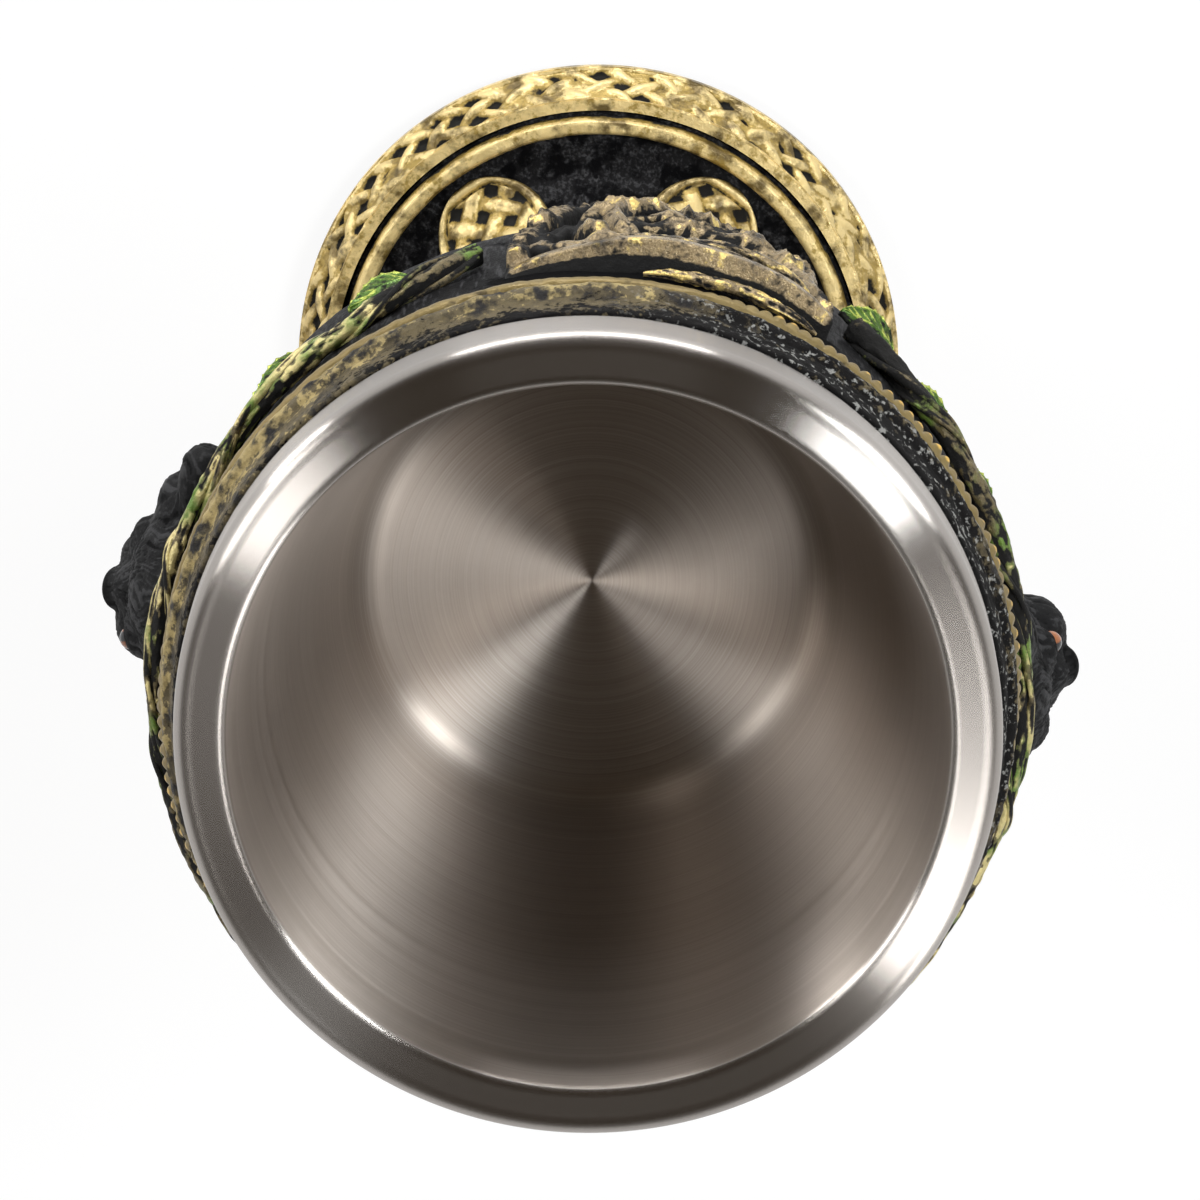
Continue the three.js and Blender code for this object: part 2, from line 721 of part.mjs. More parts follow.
// What stands on the bowl comes twice, half a turn apart
for (const side of [0, 1]) {
  const panelAzimuth = degToRad(PANEL_TURN) + side * Math.PI;
  goblet.add(piece(`knot_panel_${side + 1}`, knotPanel(panelAzimuth), BRONZE));
  goblet.add(piece(`vine_${side + 1}`, vine(side), BRONZE));
  const head = piece(`bear_head_${side + 1}`, bearHead(), BLACK);
  head.rotation.z = side * Math.PI;
  goblet.add(head);
  LEAF_AZIMUTHS.forEach((azimuth, i) => {
    goblet.add(piece(`leaf_${side * LEAF_AZIMUTHS.length + i + 1}`, leaf(side, azimuth), GREEN));
  });
}

export default goblet;
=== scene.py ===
"""A black cast-resin goblet with a lift-out steel liner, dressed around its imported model.

Sizes are millimetres in the model's own frame. Azimuths run from the front (-Y) towards +X.
"""
import logging
import math
from collections.abc import Callable, Sequence
from dataclasses import dataclass
from enum import Enum
from itertools import product

import bmesh
import bpy
import numpy as np
from mathutils import Matrix, Vector


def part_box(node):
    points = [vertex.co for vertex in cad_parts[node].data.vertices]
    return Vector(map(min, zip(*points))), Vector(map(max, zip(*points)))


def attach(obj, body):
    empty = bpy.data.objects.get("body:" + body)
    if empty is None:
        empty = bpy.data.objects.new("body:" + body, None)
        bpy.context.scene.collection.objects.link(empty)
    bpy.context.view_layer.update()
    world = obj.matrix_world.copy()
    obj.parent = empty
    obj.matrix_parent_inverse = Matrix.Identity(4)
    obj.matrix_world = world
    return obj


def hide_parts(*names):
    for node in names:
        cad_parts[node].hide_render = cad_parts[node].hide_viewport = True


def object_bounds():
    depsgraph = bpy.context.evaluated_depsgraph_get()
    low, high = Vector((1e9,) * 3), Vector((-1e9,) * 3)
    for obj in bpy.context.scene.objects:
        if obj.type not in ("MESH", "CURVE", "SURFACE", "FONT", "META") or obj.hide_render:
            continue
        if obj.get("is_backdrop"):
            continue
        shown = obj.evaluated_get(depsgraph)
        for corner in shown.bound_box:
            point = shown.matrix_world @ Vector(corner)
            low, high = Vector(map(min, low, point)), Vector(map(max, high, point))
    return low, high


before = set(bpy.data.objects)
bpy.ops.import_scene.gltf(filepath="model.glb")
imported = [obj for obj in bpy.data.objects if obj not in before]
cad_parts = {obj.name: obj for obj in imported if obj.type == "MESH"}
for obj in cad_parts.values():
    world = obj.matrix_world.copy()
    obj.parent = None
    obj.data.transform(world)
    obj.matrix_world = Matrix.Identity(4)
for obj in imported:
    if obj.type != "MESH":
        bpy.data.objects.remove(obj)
CAD_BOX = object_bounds()
LOG = logging.getLogger("goblet")
MM = 0.001
TURN = 2 * math.pi
Array = np.ndarray
Colour = tuple[float, float, float]
Relief = Callable[[Array, Array, Array], tuple[Array, Array]]
RELIEF = "relief"


class Body(Enum):
    """The two bodies that pieces ride on."""

    GOBLET = "goblet"
    LINER = "liner"


class Slot(Enum):
    """The record's material slots."""

    STEEL = "steel"
    BLACK = "black_resin"
    GOLD = "gold_resin"
    BRONZE = "bronze_resin"
    GREEN = "green_resin"
    FELT = "felt"


# Meshes in the making

@dataclass
class Solid:
    """A mesh in the making.

    Attributes:
        points: Its corners in millimetres, one row each.
        quads: Its four-sided faces, as rows of corner numbers.
        triangles: Its three-sided faces, as rows of corner numbers.
        relief: How high each corner stands in the carving, from 0 in a recess to 1 on a crest.
    """

    points: Array
    quads: Array
    triangles: Array
    relief: Array

    def faced_out(self) -> "Solid":
        """Turns all faces over if they point inwards, and returns the solid."""
        corners = np.concatenate([self.quads[:, [0, 1, 2]], self.quads[:, [0, 2, 3]], self.triangles])
        a, b, c = (self.points[corners[:, k]] for k in range(3))
        if np.einsum("ij,ij->", a, np.cross(b, c)) < 0:
            self.quads = self.quads[:, ::-1]
            self.triangles = self.triangles[:, ::-1]
        return self

    def joined(self, other: "Solid") -> "Solid":
        """Gives one solid that holds this one and another."""
        start = len(self.points)
        return Solid(
            np.concatenate([self.points, other.points]),
            np.concatenate([self.quads, other.quads + start]),
            np.concatenate([self.triangles, other.triangles + start]),
            np.concatenate([self.relief, other.relief]),
        )

    def spun(self, angle: float) -> "Solid":
        """Gives a copy turned about Z by an angle in radians."""
        turn = np.array(Matrix.Rotation(angle, 3, "Z"))
        return Solid(self.points @ turn.T, self.quads, self.triangles, self.relief)

    def piece(self, name: str, crease: float | None = None) -> bpy.types.Object:
        """Makes the Blender object.

        Args:
            name: The piece's name.
            crease: The angle in degrees past which an edge stays sharp, or None to round all edges.

        Returns:
            The new object, linked to the scene.
        """
        mesh = bpy.data.meshes.new(name)
        faces = self.quads.tolist() + self.triangles.tolist()
        mesh.from_pydata((self.points * MM).tolist(), [], faces)
        layer = mesh.attributes.new(RELIEF, "FLOAT", "POINT")
        layer.data.foreach_set("value", self.relief.astype(np.float32))
        mesh.shade_smooth()
        if crease is not None:
            mesh.set_sharp_from_angle(angle=math.radians(crease))
        made = bpy.data.objects.new(name, mesh)
        bpy.context.scene.collection.objects.link(made)
        return made


class Profile:
    """A line of (radius, height) points that is drawn step by step."""

    def __init__(self, radius: float, height: float) -> None:
        """Starts the line at a point."""
        self.points = [np.array([radius, height], float)]

    def line(self, radius: float, height: float, steps: int = 1) -> "Profile":
        """Goes straight to a point in equal steps."""
        return self.curve((radius, height), steps=steps)

    def curve(self, *controls: Sequence[float], steps: int = 8) -> "Profile":
        """Goes along a Bezier curve.

        Args:
            controls: The control points after the present one; the last is the end.
            steps: How many steps the curve takes.

        Returns:
            The same profile.
        """
        share = np.linspace(0, 1, steps + 1)[1:, None]
        level = [np.asarray(p, float) + 0 * share for p in [self.points[-1], *controls]]
        while len(level) > 1:
            level = [a + (b - a) * share for a, b in zip(level, level[1:])]
        self.points.extend(level[0])
        return self

    def add(self, other: Array) -> "Profile":
        """Goes on along the points of another line."""
        self.points.extend(np.asarray(other, float))
        return self

    def array(self) -> Array:
        """Gives the points as rows."""
        return np.array(self.points)


def polar(radius: Array, azimuth: Array, height: Array) -> Array:
    """Gives points at radii, azimuths in radians and heights, as (..., 3)."""
    radius, azimuth, height = np.broadcast_arrays(radius, azimuth, height)
    return np.stack([radius * np.sin(azimuth), -radius * np.cos(azimuth), height], -1)


def smooth(value: Array, low: float, high: float) -> Array:
    """Goes smoothly from 0 below low to 1 above high."""
    share = np.clip((np.asarray(value) - low) / (high - low), 0, 1)
    return share * share * (3 - 2 * share)


def noise(points: Array, size: float, seed: int) -> Array:
    """Smooth lumps from 0 to 1 that are the same on each run.

    Args:
        points: Where to read it, as (..., 3) in millimetres.
        size: The size of a lump in millimetres.
        seed: A whole number that picks one field of lumps.

    Returns:
        A value for each point.
    """
    spot = np.asarray(points) / size + 31.7 * seed
    cell = np.floor(spot).astype(np.int64)
    share = spot - cell
    share = share * share * (3 - 2 * share)
    total = np.zeros(spot.shape[:-1])
    for corner in product((0, 1), repeat=3):
        x, y, z = np.moveaxis(cell + corner, -1, 0)
        mixed = (x * 73856093) ^ (y * 19349663) ^ (z * 83492791)
        mixed = ((mixed ^ (mixed >> 13)) * 1274126177) & 0x7FFFFFFF
        weight = np.prod(np.where(corner, share, 1 - share), -1)
        total += weight * (mixed >> 8 & 0xFFFF) / 0xFFFF
    return total


def grid_quads(rows: int, columns: int, round_rows: bool, round_columns: bool) -> Array:
    """Gives the faces of a grid of points.

    Args:
        rows: How many rows of points there are.
        columns: How many points are in a row.
        round_rows: Whether the last row joins the first.
        round_columns: Whether the last point in a row joins the first.

    Returns:
        Rows of four corner numbers.
    """
    i, j = np.meshgrid(
        np.arange(rows if round_rows else rows - 1),
        np.arange(columns if round_columns else columns - 1),
        indexing="ij",
    )
    below, beside = (i + 1) % rows, (j + 1) % columns
    corners = [i * columns + j, i * columns + beside, below * columns + beside, below * columns + j]
    return np.stack(corners, -1).reshape(-1, 4)


def turned(profile: Array, segments: int, ring: bool = False, shape: Relief | None = None) -> Solid:
    """Turns a profile about Z, with carving on it.

    Args:
        profile: (radius, height) points with the material on the left. It closes on itself for a ring,
            and starts and ends on the axis otherwise.
        segments: How many steps go round.
        ring: Whether the profile closes on itself.
        shape: Gives how far each point is raised and its relief, from the azimuth, the length along the
            profile and the points before they are raised.

    Returns:
        The closed solid.
    """
    if ring:
        tangent = np.roll(profile, -1, 0) - np.roll(profile, 1, 0)
    else:
        tangent = np.gradient(profile, axis=0)
    tangent /= np.maximum(np.linalg.norm(tangent, axis=1, keepdims=True), 1e-9)
    steps = np.linalg.norm(np.diff(profile, axis=0, prepend=profile[:1]), axis=1)
    along = np.cumsum(steps)[:, None]
    azimuth = np.arange(segments)[None, :] * TURN / segments
    radius, height = profile[:, :1], profile[:, 1:]
    raised, relief = np.zeros((2, len(profile), segments))
    if shape:
        raised, relief = shape(azimuth, along, polar(radius, azimuth, height))
        raised = np.broadcast_to(raised, (len(profile), segments))
        relief = np.broadcast_to(relief, (len(profile), segments))
    points = polar(radius + tangent[:, 1:] * raised, azimuth, height - tangent[:, :1] * raised)
    no_triangles = np.zeros((0, 3), int)
    if ring:
        quads = grid_quads(len(profile), segments, True, True)
        return Solid(points.reshape(-1, 3), quads, no_triangles, relief.ravel()).faced_out()
    rows = len(profile) - 2
    here = np.arange(segments)
    beside = (here + 1) % segments
    last = (rows - 1) * segments
    first_pole, last_pole = rows * segments, rows * segments + 1
    fans = [
        np.stack([np.full(segments, first_pole), beside, here], -1),
        np.stack([last + here, last + beside, np.full(segments, last_pole)], -1),
    ]
    corners = np.concatenate([points[1:-1].reshape(-1, 3), points[0, :1], points[-1, :1]])
    values = np.concatenate([relief[1:-1].ravel(), relief[0, :1], relief[-1, :1]])
    quads = grid_quads(rows, segments, False, True)
    return Solid(corners, quads, np.concatenate(fans), values).faced_out()


def slab(outer: Array, inner: Array, relief: Array) -> Solid:
    """Closes two sheets of points, (rows, columns, 3), into a solid.

    Args:
        outer: The carved face.
        inner: The hidden face, with as many points.
        relief: The carving's relief at the outer points.

    Returns:
        The closed solid.
    """
    rows, columns = outer.shape[:2]
    number = np.arange(rows * columns).reshape(rows, columns)
    edge = np.concatenate([number[0, :-1], number[:-1, -1], number[-1, :0:-1], number[:0:-1, 0]])
    ahead = np.roll(edge, -1)
    count = rows * columns
    face = grid_quads(rows, columns, False, False)
    sides = np.stack([edge, edge + count, ahead + count, ahead], -1)
    quads = np.concatenate([face, face[:, ::-1] + count, sides])
    points = np.concatenate([outer.reshape(-1, 3), inner.reshape(-1, 3)])
    values = np.concatenate([relief.ravel(), np.zeros(count)])
    return Solid(points, quads, np.zeros((0, 3), int), values).faced_out()


def tube(path: Array, outward: Array, radii: Array, relief: Array) -> Solid:
    """Sweeps a round section along a path and closes its ends.

    Args:
        path: The centre line, (steps, 3).
        outward: A direction at each step that the section's first corner points in.
        radii: The section's radius, (steps, corners).
        relief: The relief at those corners.

    Returns:
        The closed solid.
    """
    steps, corners = radii.shape
    tangent = np.gradient(path, axis=0)
    tangent /= np.linalg.norm(tangent, axis=1, keepdims=True)
    side = np.cross(tangent, outward)
    side /= np.linalg.norm(side, axis=1, keepdims=True)
    up = np.cross(side, tangent)
    angle = np.arange(corners) * TURN / corners
    spoke = up[:, None] * np.cos(angle)[:, None] + side[:, None] * np.sin(angle)[:, None]
    rings = path[:, None] + spoke * radii[..., None]
    here = np.arange(corners)
    beside = (here + 1) % corners
    last, end = (steps - 1) * corners, steps * corners
    fans = [
        np.stack([np.full(corners, end), beside, here], -1),
        np.stack([last + here, last + beside, np.full(corners, end + 1)], -1),
    ]
    points = np.concatenate([rings.reshape(-1, 3), path[:1], path[-1:]])
    values = np.concatenate([relief.ravel(), [0.5, 0.5]])
    quads = grid_quads(steps, corners, False, True)
    return Solid(points, quads, np.concatenate(fans), values).faced_out()


# Carved patterns

def braid(turn: Array, across: Array, reach: float, half_width: float, lead: float, strands: int) -> Array:
    """Height of a flat braid, from 0 in its gaps to 1 on the strands that pass over.

    Args:
        turn: The braid's angle at each point; the strands repeat after a full turn.
        across: The distance from the braid's middle.
        reach: How far a strand swings to each side.
        half_width: Half the width of a strand.
        lead: The length of a full turn divided by two pi.
        strands: How many strands there are.

    Returns:
        The height at each point.
    """
    best = np.zeros(np.broadcast(turn, across).shape)
    for k in range(strands):
        angle = turn + TURN * k / strands
        slope = reach * np.cos(angle) / lead
        distance = np.abs(across - reach * np.sin(angle)) / np.sqrt(1 + slope * slope)
        arch = np.sqrt(np.clip(1 - (distance / half_width) ** 2, 0, 1))
        over = 0.5 + 0.5 * np.sin(2 * angle)
        best = np.maximum(best, arch * (0.55 + 0.45 * over))
    return best


def plait(across: Array, along: Array, pitch: float, half_width: float = 0.36) -> Array:
    """Height of a diagonal plait, from 0 in its gaps to 1 on the strands that pass over.

    Args:
        across: One coordinate on the surface.
        along: The other coordinate.
        pitch: The distance after which the plait repeats along either.
        half_width: Half a strand's width as a share of the strands' spacing.

    Returns:
        The height at each point.
    """
    first, second = (across + along) / pitch, (across - along) / pitch
    best = np.zeros(first.shape)
    for lane, run, sign in ((first, second, 1), (second, first, -1)):
        number = np.floor(lane)
        distance = np.abs(lane - number - 0.5)
        arch = np.sqrt(np.clip(1 - (distance / half_width) ** 2, 0, 1))
        over = 0.5 + 0.5 * sign * np.sin(math.pi * (run + number))
        best = np.maximum(best, arch * (0.5 + 0.5 * over))
    return best


def near_line(across: Array, height: Array, line: Array) -> tuple[Array, Array]:
    """Finds the nearest point of a line for each point of a sheet.

    Args:
        across: The sheet's first coordinate.
        height: Its second coordinate.
        line: The line's points, (count, 2), close together.

    Returns:
        The distance to the line, and how far along the line that is, from 0 to 1.
    """
    distance = np.full(across.shape, np.inf)
    place = np.zeros(across.shape)
    for k, (x, y) in enumerate(line):
        reach = np.hypot(across - x, height - y)
        closer = reach < distance
        distance = np.where(closer, reach, distance)
        place = np.where(closer, k / (len(line) - 1), place)
    return distance, place


# Shader building

class Graph:
    """Adds nodes to a shader tree and links them."""

    def __init__(self, tree: bpy.types.NodeTree) -> None:
        """Takes the tree to fill."""
        self.tree = tree

    def add(self, kind: str, inputs: dict | None = None, **settings: object) -> bpy.types.Node:
        """Adds a node.

        Args:
            kind: The node's type.
            inputs: Values or sockets for its inputs, by name or number.
            settings: The node's own settings.

        Returns:
            The new node.
        """
        node = self.tree.nodes.new(kind)
        for name, value in settings.items():
            setattr(node, name, value)
        for name, value in (inputs or {}).items():
            if isinstance(value, bpy.types.NodeSocket):
                self.tree.links.new(value, node.inputs[name])
            else:
                node.inputs[name].default_value = value
        return node

    def math(self, operation: str, first: object, second: object = 0.0) -> bpy.types.NodeSocket:
        """Adds a sum of two values and gives its result."""
        return self.add("ShaderNodeMath", {0: first, 1: second}, operation=operation).outputs[0]

    def mix(self, share: object, first: object, second: object) -> bpy.types.NodeSocket:
        """Mixes two colours and gives the result."""
        inputs = {0: share, 6: opaque(first), 7: opaque(second)}
        return self.add("ShaderNodeMix", inputs, data_type="RGBA").outputs[2]

    def step(self, value: object, low: object, high: object) -> bpy.types.NodeSocket:
        """Goes smoothly from 0 below low to 1 above high and gives the result."""
        inputs = {0: value, 1: low, 2: high}
        node = self.add("ShaderNodeMapRange", inputs, interpolation_type="SMOOTHSTEP")
        return node.outputs[0]

    def noise(self, vector: object, scale: object, detail: float = 3.0) -> bpy.types.NodeSocket:
        """Adds a noise texture and gives its value."""
        inputs = {"Vector": vector, "Scale": scale, "Detail": detail, "Roughness": 0.6}
        return self.add("ShaderNodeTexNoise", inputs).outputs[0]

    def place(self) -> bpy.types.NodeSocket:
        """Gives the point's place in the model's frame, in metres."""
        return self.add("ShaderNodeTexCoord").outputs["Object"]

    def stretched(
        self, vector: object, scale: Sequence[float], tilt: Sequence[float]
    ) -> bpy.types.NodeSocket:
        """Turns and stretches a place before it is read by a texture."""
        inputs = {"Vector": vector, "Scale": scale, "Rotation": tilt}
        return self.add("ShaderNodeMapping", inputs).outputs[0]


def opaque(colour: object) -> object:
    """Adds full opacity to a colour, and leaves a socket as it is."""
    return (*colour, 1.0) if isinstance(colour, tuple) else colour


def new_group(name: str, inputs: dict[str, object], outputs: dict[str, str]) -> tuple[Graph, object, object]:
    """Starts a shader node group.

    Args:
        name: The group's name.
        inputs: Default values by socket name; a tuple makes a colour socket and a number a value socket.
        outputs: Socket types by socket name.

    Returns:
        The graph to fill, the group's input node and its output node.
    """
    tree = bpy.data.node_groups.new(name, "ShaderNodeTree")
    for label, value in inputs.items():
        kind = "NodeSocketColor" if isinstance(value, tuple) else "NodeSocketFloat"
        socket = tree.interface.new_socket(label, in_out="INPUT", socket_type=kind)
        socket.default_value = opaque(value)
    for label, kind in outputs.items():
        tree.interface.new_socket(label, in_out="OUTPUT", socket_type=kind)
    graph = Graph(tree)
    return graph, graph.add("NodeGroupInput"), graph.add("NodeGroupOutput")


def relief_paint_group() -> bpy.types.NodeTree:
    """Makes the group that paints recesses, flanks and crests of a carving, with uneven edges."""
    graph, given, result = new_group(
        "relief paint",
        {
            "Relief": 0.5, "Recess": (0.0, 0.0, 0.0), "Flank": (0.5, 0.5, 0.5), "Crest": (1.0, 1.0, 1.0),
            "Flank Level": 0.3, "Crest Level": 0.75, "Patchiness": 0.4,
        },
        {"Colour": "NodeSocketColor", "Paint": "NodeSocketFloat", "Brush": "NodeSocketFloat"},
    )
    place = graph.place()
    ragged = graph.math("SUBTRACT", graph.noise(place, 420.0, 6.0), 0.5)
    dabs = graph.math("SUBTRACT", graph.noise(place, 1500.0, 3.0), 0.5)
    uneven = graph.math("MULTIPLY", graph.math("ADD", ragged, dabs), given.outputs["Patchiness"])
    level = graph.math("ADD", given.outputs["Relief"], uneven)
    soft = 0.14
    sharp = 0.1
    flank = graph.step(
        level,
        graph.math("SUBTRACT", given.outputs["Flank Level"], soft),
        graph.math("ADD", given.outputs["Flank Level"], soft),
    )
    crest = graph.step(
        level,
        graph.math("SUBTRACT", given.outputs["Crest Level"], sharp),
        graph.math("ADD", given.outputs["Crest Level"], sharp),
    )
    painted = graph.mix(flank, given.outputs["Recess"], given.outputs["Flank"])
    colour = graph.mix(crest, painted, given.outputs["Crest"])
    graph.tree.links.new(colour, result.inputs["Colour"])
    graph.tree.links.new(flank, result.inputs["Paint"])
    graph.tree.links.new(crest, result.inputs["Brush"])
    return graph.tree


def grain_group() -> bpy.types.NodeTree:
    """Makes the group that gives the fine grain of cast and painted surfaces."""
    graph, given, result = new_group(
        "cast grain",
        {"Size": 900.0, "Fine": 0.5},
        {"Height": "NodeSocketFloat", "Tone": "NodeSocketFloat"},
    )
    place = graph.place()
    coarse = graph.noise(place, given.outputs["Size"], 4.0)
    fine = graph.noise(place, graph.math("MULTIPLY", given.outputs["Size"], 5.0), 2.0)
    height = graph.math("ADD", coarse, graph.math("MULTIPLY", fine, given.outputs["Fine"]))
    graph.tree.links.new(height, result.inputs["Height"])
    graph.tree.links.new(coarse, result.inputs["Tone"])
    return graph.tree


def stroke_group() -> bpy.types.NodeTree:
    """Makes the group that gives dry-brush strokes, which run down the goblet at a slant."""
    graph, given, result = new_group(
        "brush strokes",
        {"Density": 1.0, "Reach": 0.5},
        {"Strokes": "NodeSocketFloat"},
    )
    place = graph.place()
    size = given.outputs["Density"]
    slanted = graph.stretched(place, (2600.0, 2600.0, 330.0), (0.35, 0.3, 0.0))
    crossed = graph.stretched(place, (1500.0, 1500.0, 260.0), (-0.25, 0.2, 0.4))
    lines = graph.math("ADD", graph.noise(slanted, size, 2.0), graph.noise(crossed, size, 2.0))
    broad = graph.noise(place, 130.0, 2.0)
    strength = graph.math("ADD", lines, graph.math("MULTIPLY", broad, given.outputs["Reach"]))
    graph.tree.links.new(graph.step(strength, 1.15, 1.6), result.inputs["Strokes"])
    return graph.tree


def patch_group() -> bpy.types.NodeTree:
    """Makes the group that gives soft-edged patches, where another paint lies on the main one."""
    graph, given, result = new_group(
        "paint patches",
        {"Size": 120.0, "Share": 0.4},
        {"Patches": "NodeSocketFloat"},
    )
    spread = graph.noise(graph.place(), given.outputs["Size"], 5.0)
    level = graph.math("SUBTRACT", 0.72, graph.math("MULTIPLY", given.outputs["Share"], 0.44))
    mask = graph.step(spread, graph.math("SUBTRACT", level, 0.1), graph.math("ADD", level, 0.1))
    graph.tree.links.new(mask, result.inputs["Patches"])
    return graph.tree


class Groups:
    """The shared node groups, each made once."""

    made: dict[str, bpy.types.NodeTree] = {}

    @classmethod
    def get(cls, maker: Callable[[], bpy.types.NodeTree]) -> bpy.types.NodeTree:
        """Gives a group by the function that makes it."""
        if maker.__name__ not in cls.made:
            cls.made[maker.__name__] = maker()
        return cls.made[maker.__name__]


@dataclass(frozen=True)
class Finish:
    """What all finishes share.

    Attributes:
        name: The finish's name, which its material takes.
        slot: The record's material slot; nothing in this script reads it.
    """

    name: str
    slot: Slot

    def material(self) -> bpy.types.Material:
        """Gives the finish's material, made on first use."""
        found = bpy.data.materials.get(self.name)
        if found:
            return found
        made = bpy.data.materials.new(self.name)
        made.use_nodes = True
        made.node_tree.nodes.clear()
        graph = Graph(made.node_tree)
        surface = self.shader(graph)
        graph.add("ShaderNodeOutputMaterial", {"Surface": surface.outputs[0]})
        return made

    def shader(self, graph: Graph) -> bpy.types.Node:
        """Adds the finish's nodes and gives its last shader."""
        raise NotImplementedError

    def group(self, graph: Graph, maker: Callable, inputs: dict | None = None) -> bpy.types.Node:
        """Places a shared node group."""
        node = graph.add("ShaderNodeGroup", node_tree=Groups.get(maker))
        for name, value in (inputs or {}).items():
            if isinstance(value, bpy.types.NodeSocket):
                graph.tree.links.new(value, node.inputs[name])
            else:
                node.inputs[name].default_value = opaque(value)
        return node


@dataclass(frozen=True)
class PaintedResin(Finish):
    """Cast resin, painted dark in its recesses and brushed lighter towards its crests.

    Attributes:
        recess: The colour left in the recesses.
        flank: The main colour.
        crest: The colour brushed on the high spots.
        flank_level: The relief at which the main colour starts.
        crest_level: The relief at which the brushed colour starts.
        patchiness: How uneven the paint's edges are.
        strokes: How much of the brushed colour lies in loose strokes.
        roughness: The main roughness.
        metallic: How metallic the paint is.
        grain_size: The grain's size, in lumps for each metre.
        grain_depth: The grain's depth in metres.
        specular: How strongly the surface mirrors the room.
        tint: A second paint that lies on the main one in patches, if any.
        tint_share: How much of the surface those patches take.
        tint_size: The size of the patches, in lumps for each metre.
    """

    recess: Colour
    flank: Colour
    crest: Colour
    flank_level: float = 0.3
    crest_level: float = 0.75
    patchiness: float = 0.4
    strokes: float = 0.0
    roughness: float = 0.5
    metallic: float = 0.0
    grain_size: float = 900.0
    grain_depth: float = 0.00012
    specular: float = 0.5
    tint: Colour | None = None
    tint_share: float = 0.4
    tint_size: float = 120.0

    def level(self, graph: Graph) -> bpy.types.NodeSocket:
        """Gives the relief that the paint follows."""
        return graph.add("ShaderNodeAttribute", attribute_name=RELIEF).outputs["Fac"]

    def painted(self, graph: Graph, relief: bpy.types.NodeSocket) -> tuple:
        """Adds the paint.

        Args:
            graph: The material's graph.
            relief: The relief that the paint follows.

        Returns:
            The colour and the mask of the main paint.
        """
        paint = self.group(graph, relief_paint_group, {
            "Relief": relief, "Recess": self.recess, "Flank": self.flank, "Crest": self.crest,
            "Flank Level": self.flank_level, "Crest Level": self.crest_level,
            "Patchiness": self.patchiness,
        })
        colour = paint.outputs["Colour"]
        if self.strokes:
            brush = self.group(graph, stroke_group)
            share = graph.math("MULTIPLY", brush.outputs["Strokes"], self.strokes)
            share = graph.math("MULTIPLY", share, paint.outputs["Paint"])
            colour = graph.mix(share, colour, self.crest)
        if self.tint:
            patches = self.group(graph, patch_group, {"Size": self.tint_size, "Share": self.tint_share})
            share = graph.math("MULTIPLY", patches.outputs["Patches"], paint.outputs["Paint"])
            colour = graph.mix(share, colour, self.tint)
        return colour, paint.outputs["Paint"]

    def shader(self, graph: Graph) -> bpy.types.Node:
        """Adds the paint, grain and gloss, and gives the shader."""
        relief = self.level(graph)
        colour, painted = self.painted(graph, relief)
        grain = self.group(graph, grain_group, {"Size": self.grain_size})
        tone = graph.add("ShaderNodeHueSaturation", {
            "Value": graph.math("ADD", graph.math("MULTIPLY", grain.outputs["Tone"], 0.5), 0.75),
            "Color": colour,
        })
        rough = graph.math("ADD", graph.math("MULTIPLY", grain.outputs["Tone"], 0.3), self.roughness - 0.15)
        dull = graph.math("MULTIPLY", graph.math("SUBTRACT", 1.0, painted), 0.9 * (1 - self.roughness))
        rough = graph.math("ADD", rough, dull)
        bump = graph.add("ShaderNodeBump", {
            "Height": grain.outputs["Height"], "Distance": self.grain_depth, "Strength": 1.0,
        })
        inputs = {
            "Base Color": tone.outputs[0], "Roughness": rough, "Normal": bump.outputs[0],
            "Specular IOR Level": self.specular,
        }
        if self.metallic:
            inputs["Metallic"] = graph.math("MULTIPLY", painted, self.metallic)
        return graph.add("ShaderNodeBsdfPrincipled", inputs)


@dataclass(frozen=True)
class WornBand(PaintedResin):
    """The rim band's paint, rubbed down to black on one side of the goblet, with pale chips left there.

    Attributes:
        rubbed_towards: The direction, in the model's frame, of the side that is rubbed most.
        chip: The colour of the chips.
    """

    rubbed_towards: Colour = (-0.87, -0.5, 0.0)
    chip: Colour = (0.42, 0.42, 0.4)

    def rubbed(self, graph: Graph) -> bpy.types.NodeSocket:
        """Gives how much each point is rubbed."""
        inputs = {0: graph.place(), 1: self.rubbed_towards}
        facing = graph.add("ShaderNodeVectorMath", inputs, operation="DOT_PRODUCT")
        return graph.step(facing.outputs["Value"], 0.016, 0.037)

    def level(self, graph: Graph) -> bpy.types.NodeSocket:
        """Lowers the paint's relief on the rubbed side."""
        return graph.math("SUBTRACT", super().level(graph), graph.math("MULTIPLY", self.rubbed(graph), 0.75))

    def painted(self, graph: Graph, relief: bpy.types.NodeSocket) -> tuple:
        """Adds the paint, and the chips on the rubbed side.

        Args:
            graph: The material's graph.
            relief: The relief that the paint follows.

        Returns:
            The colour and the mask of the main paint.
        """
        colour, painted = super().painted(graph, relief)
        specks = graph.step(graph.noise(graph.place(), 1300.0, 3.0), 0.56, 0.66)
        share = graph.math("MULTIPLY", specks, graph.math("MULTIPLY", self.rubbed(graph), 0.8))
        return graph.mix(share, colour, self.chip), painted


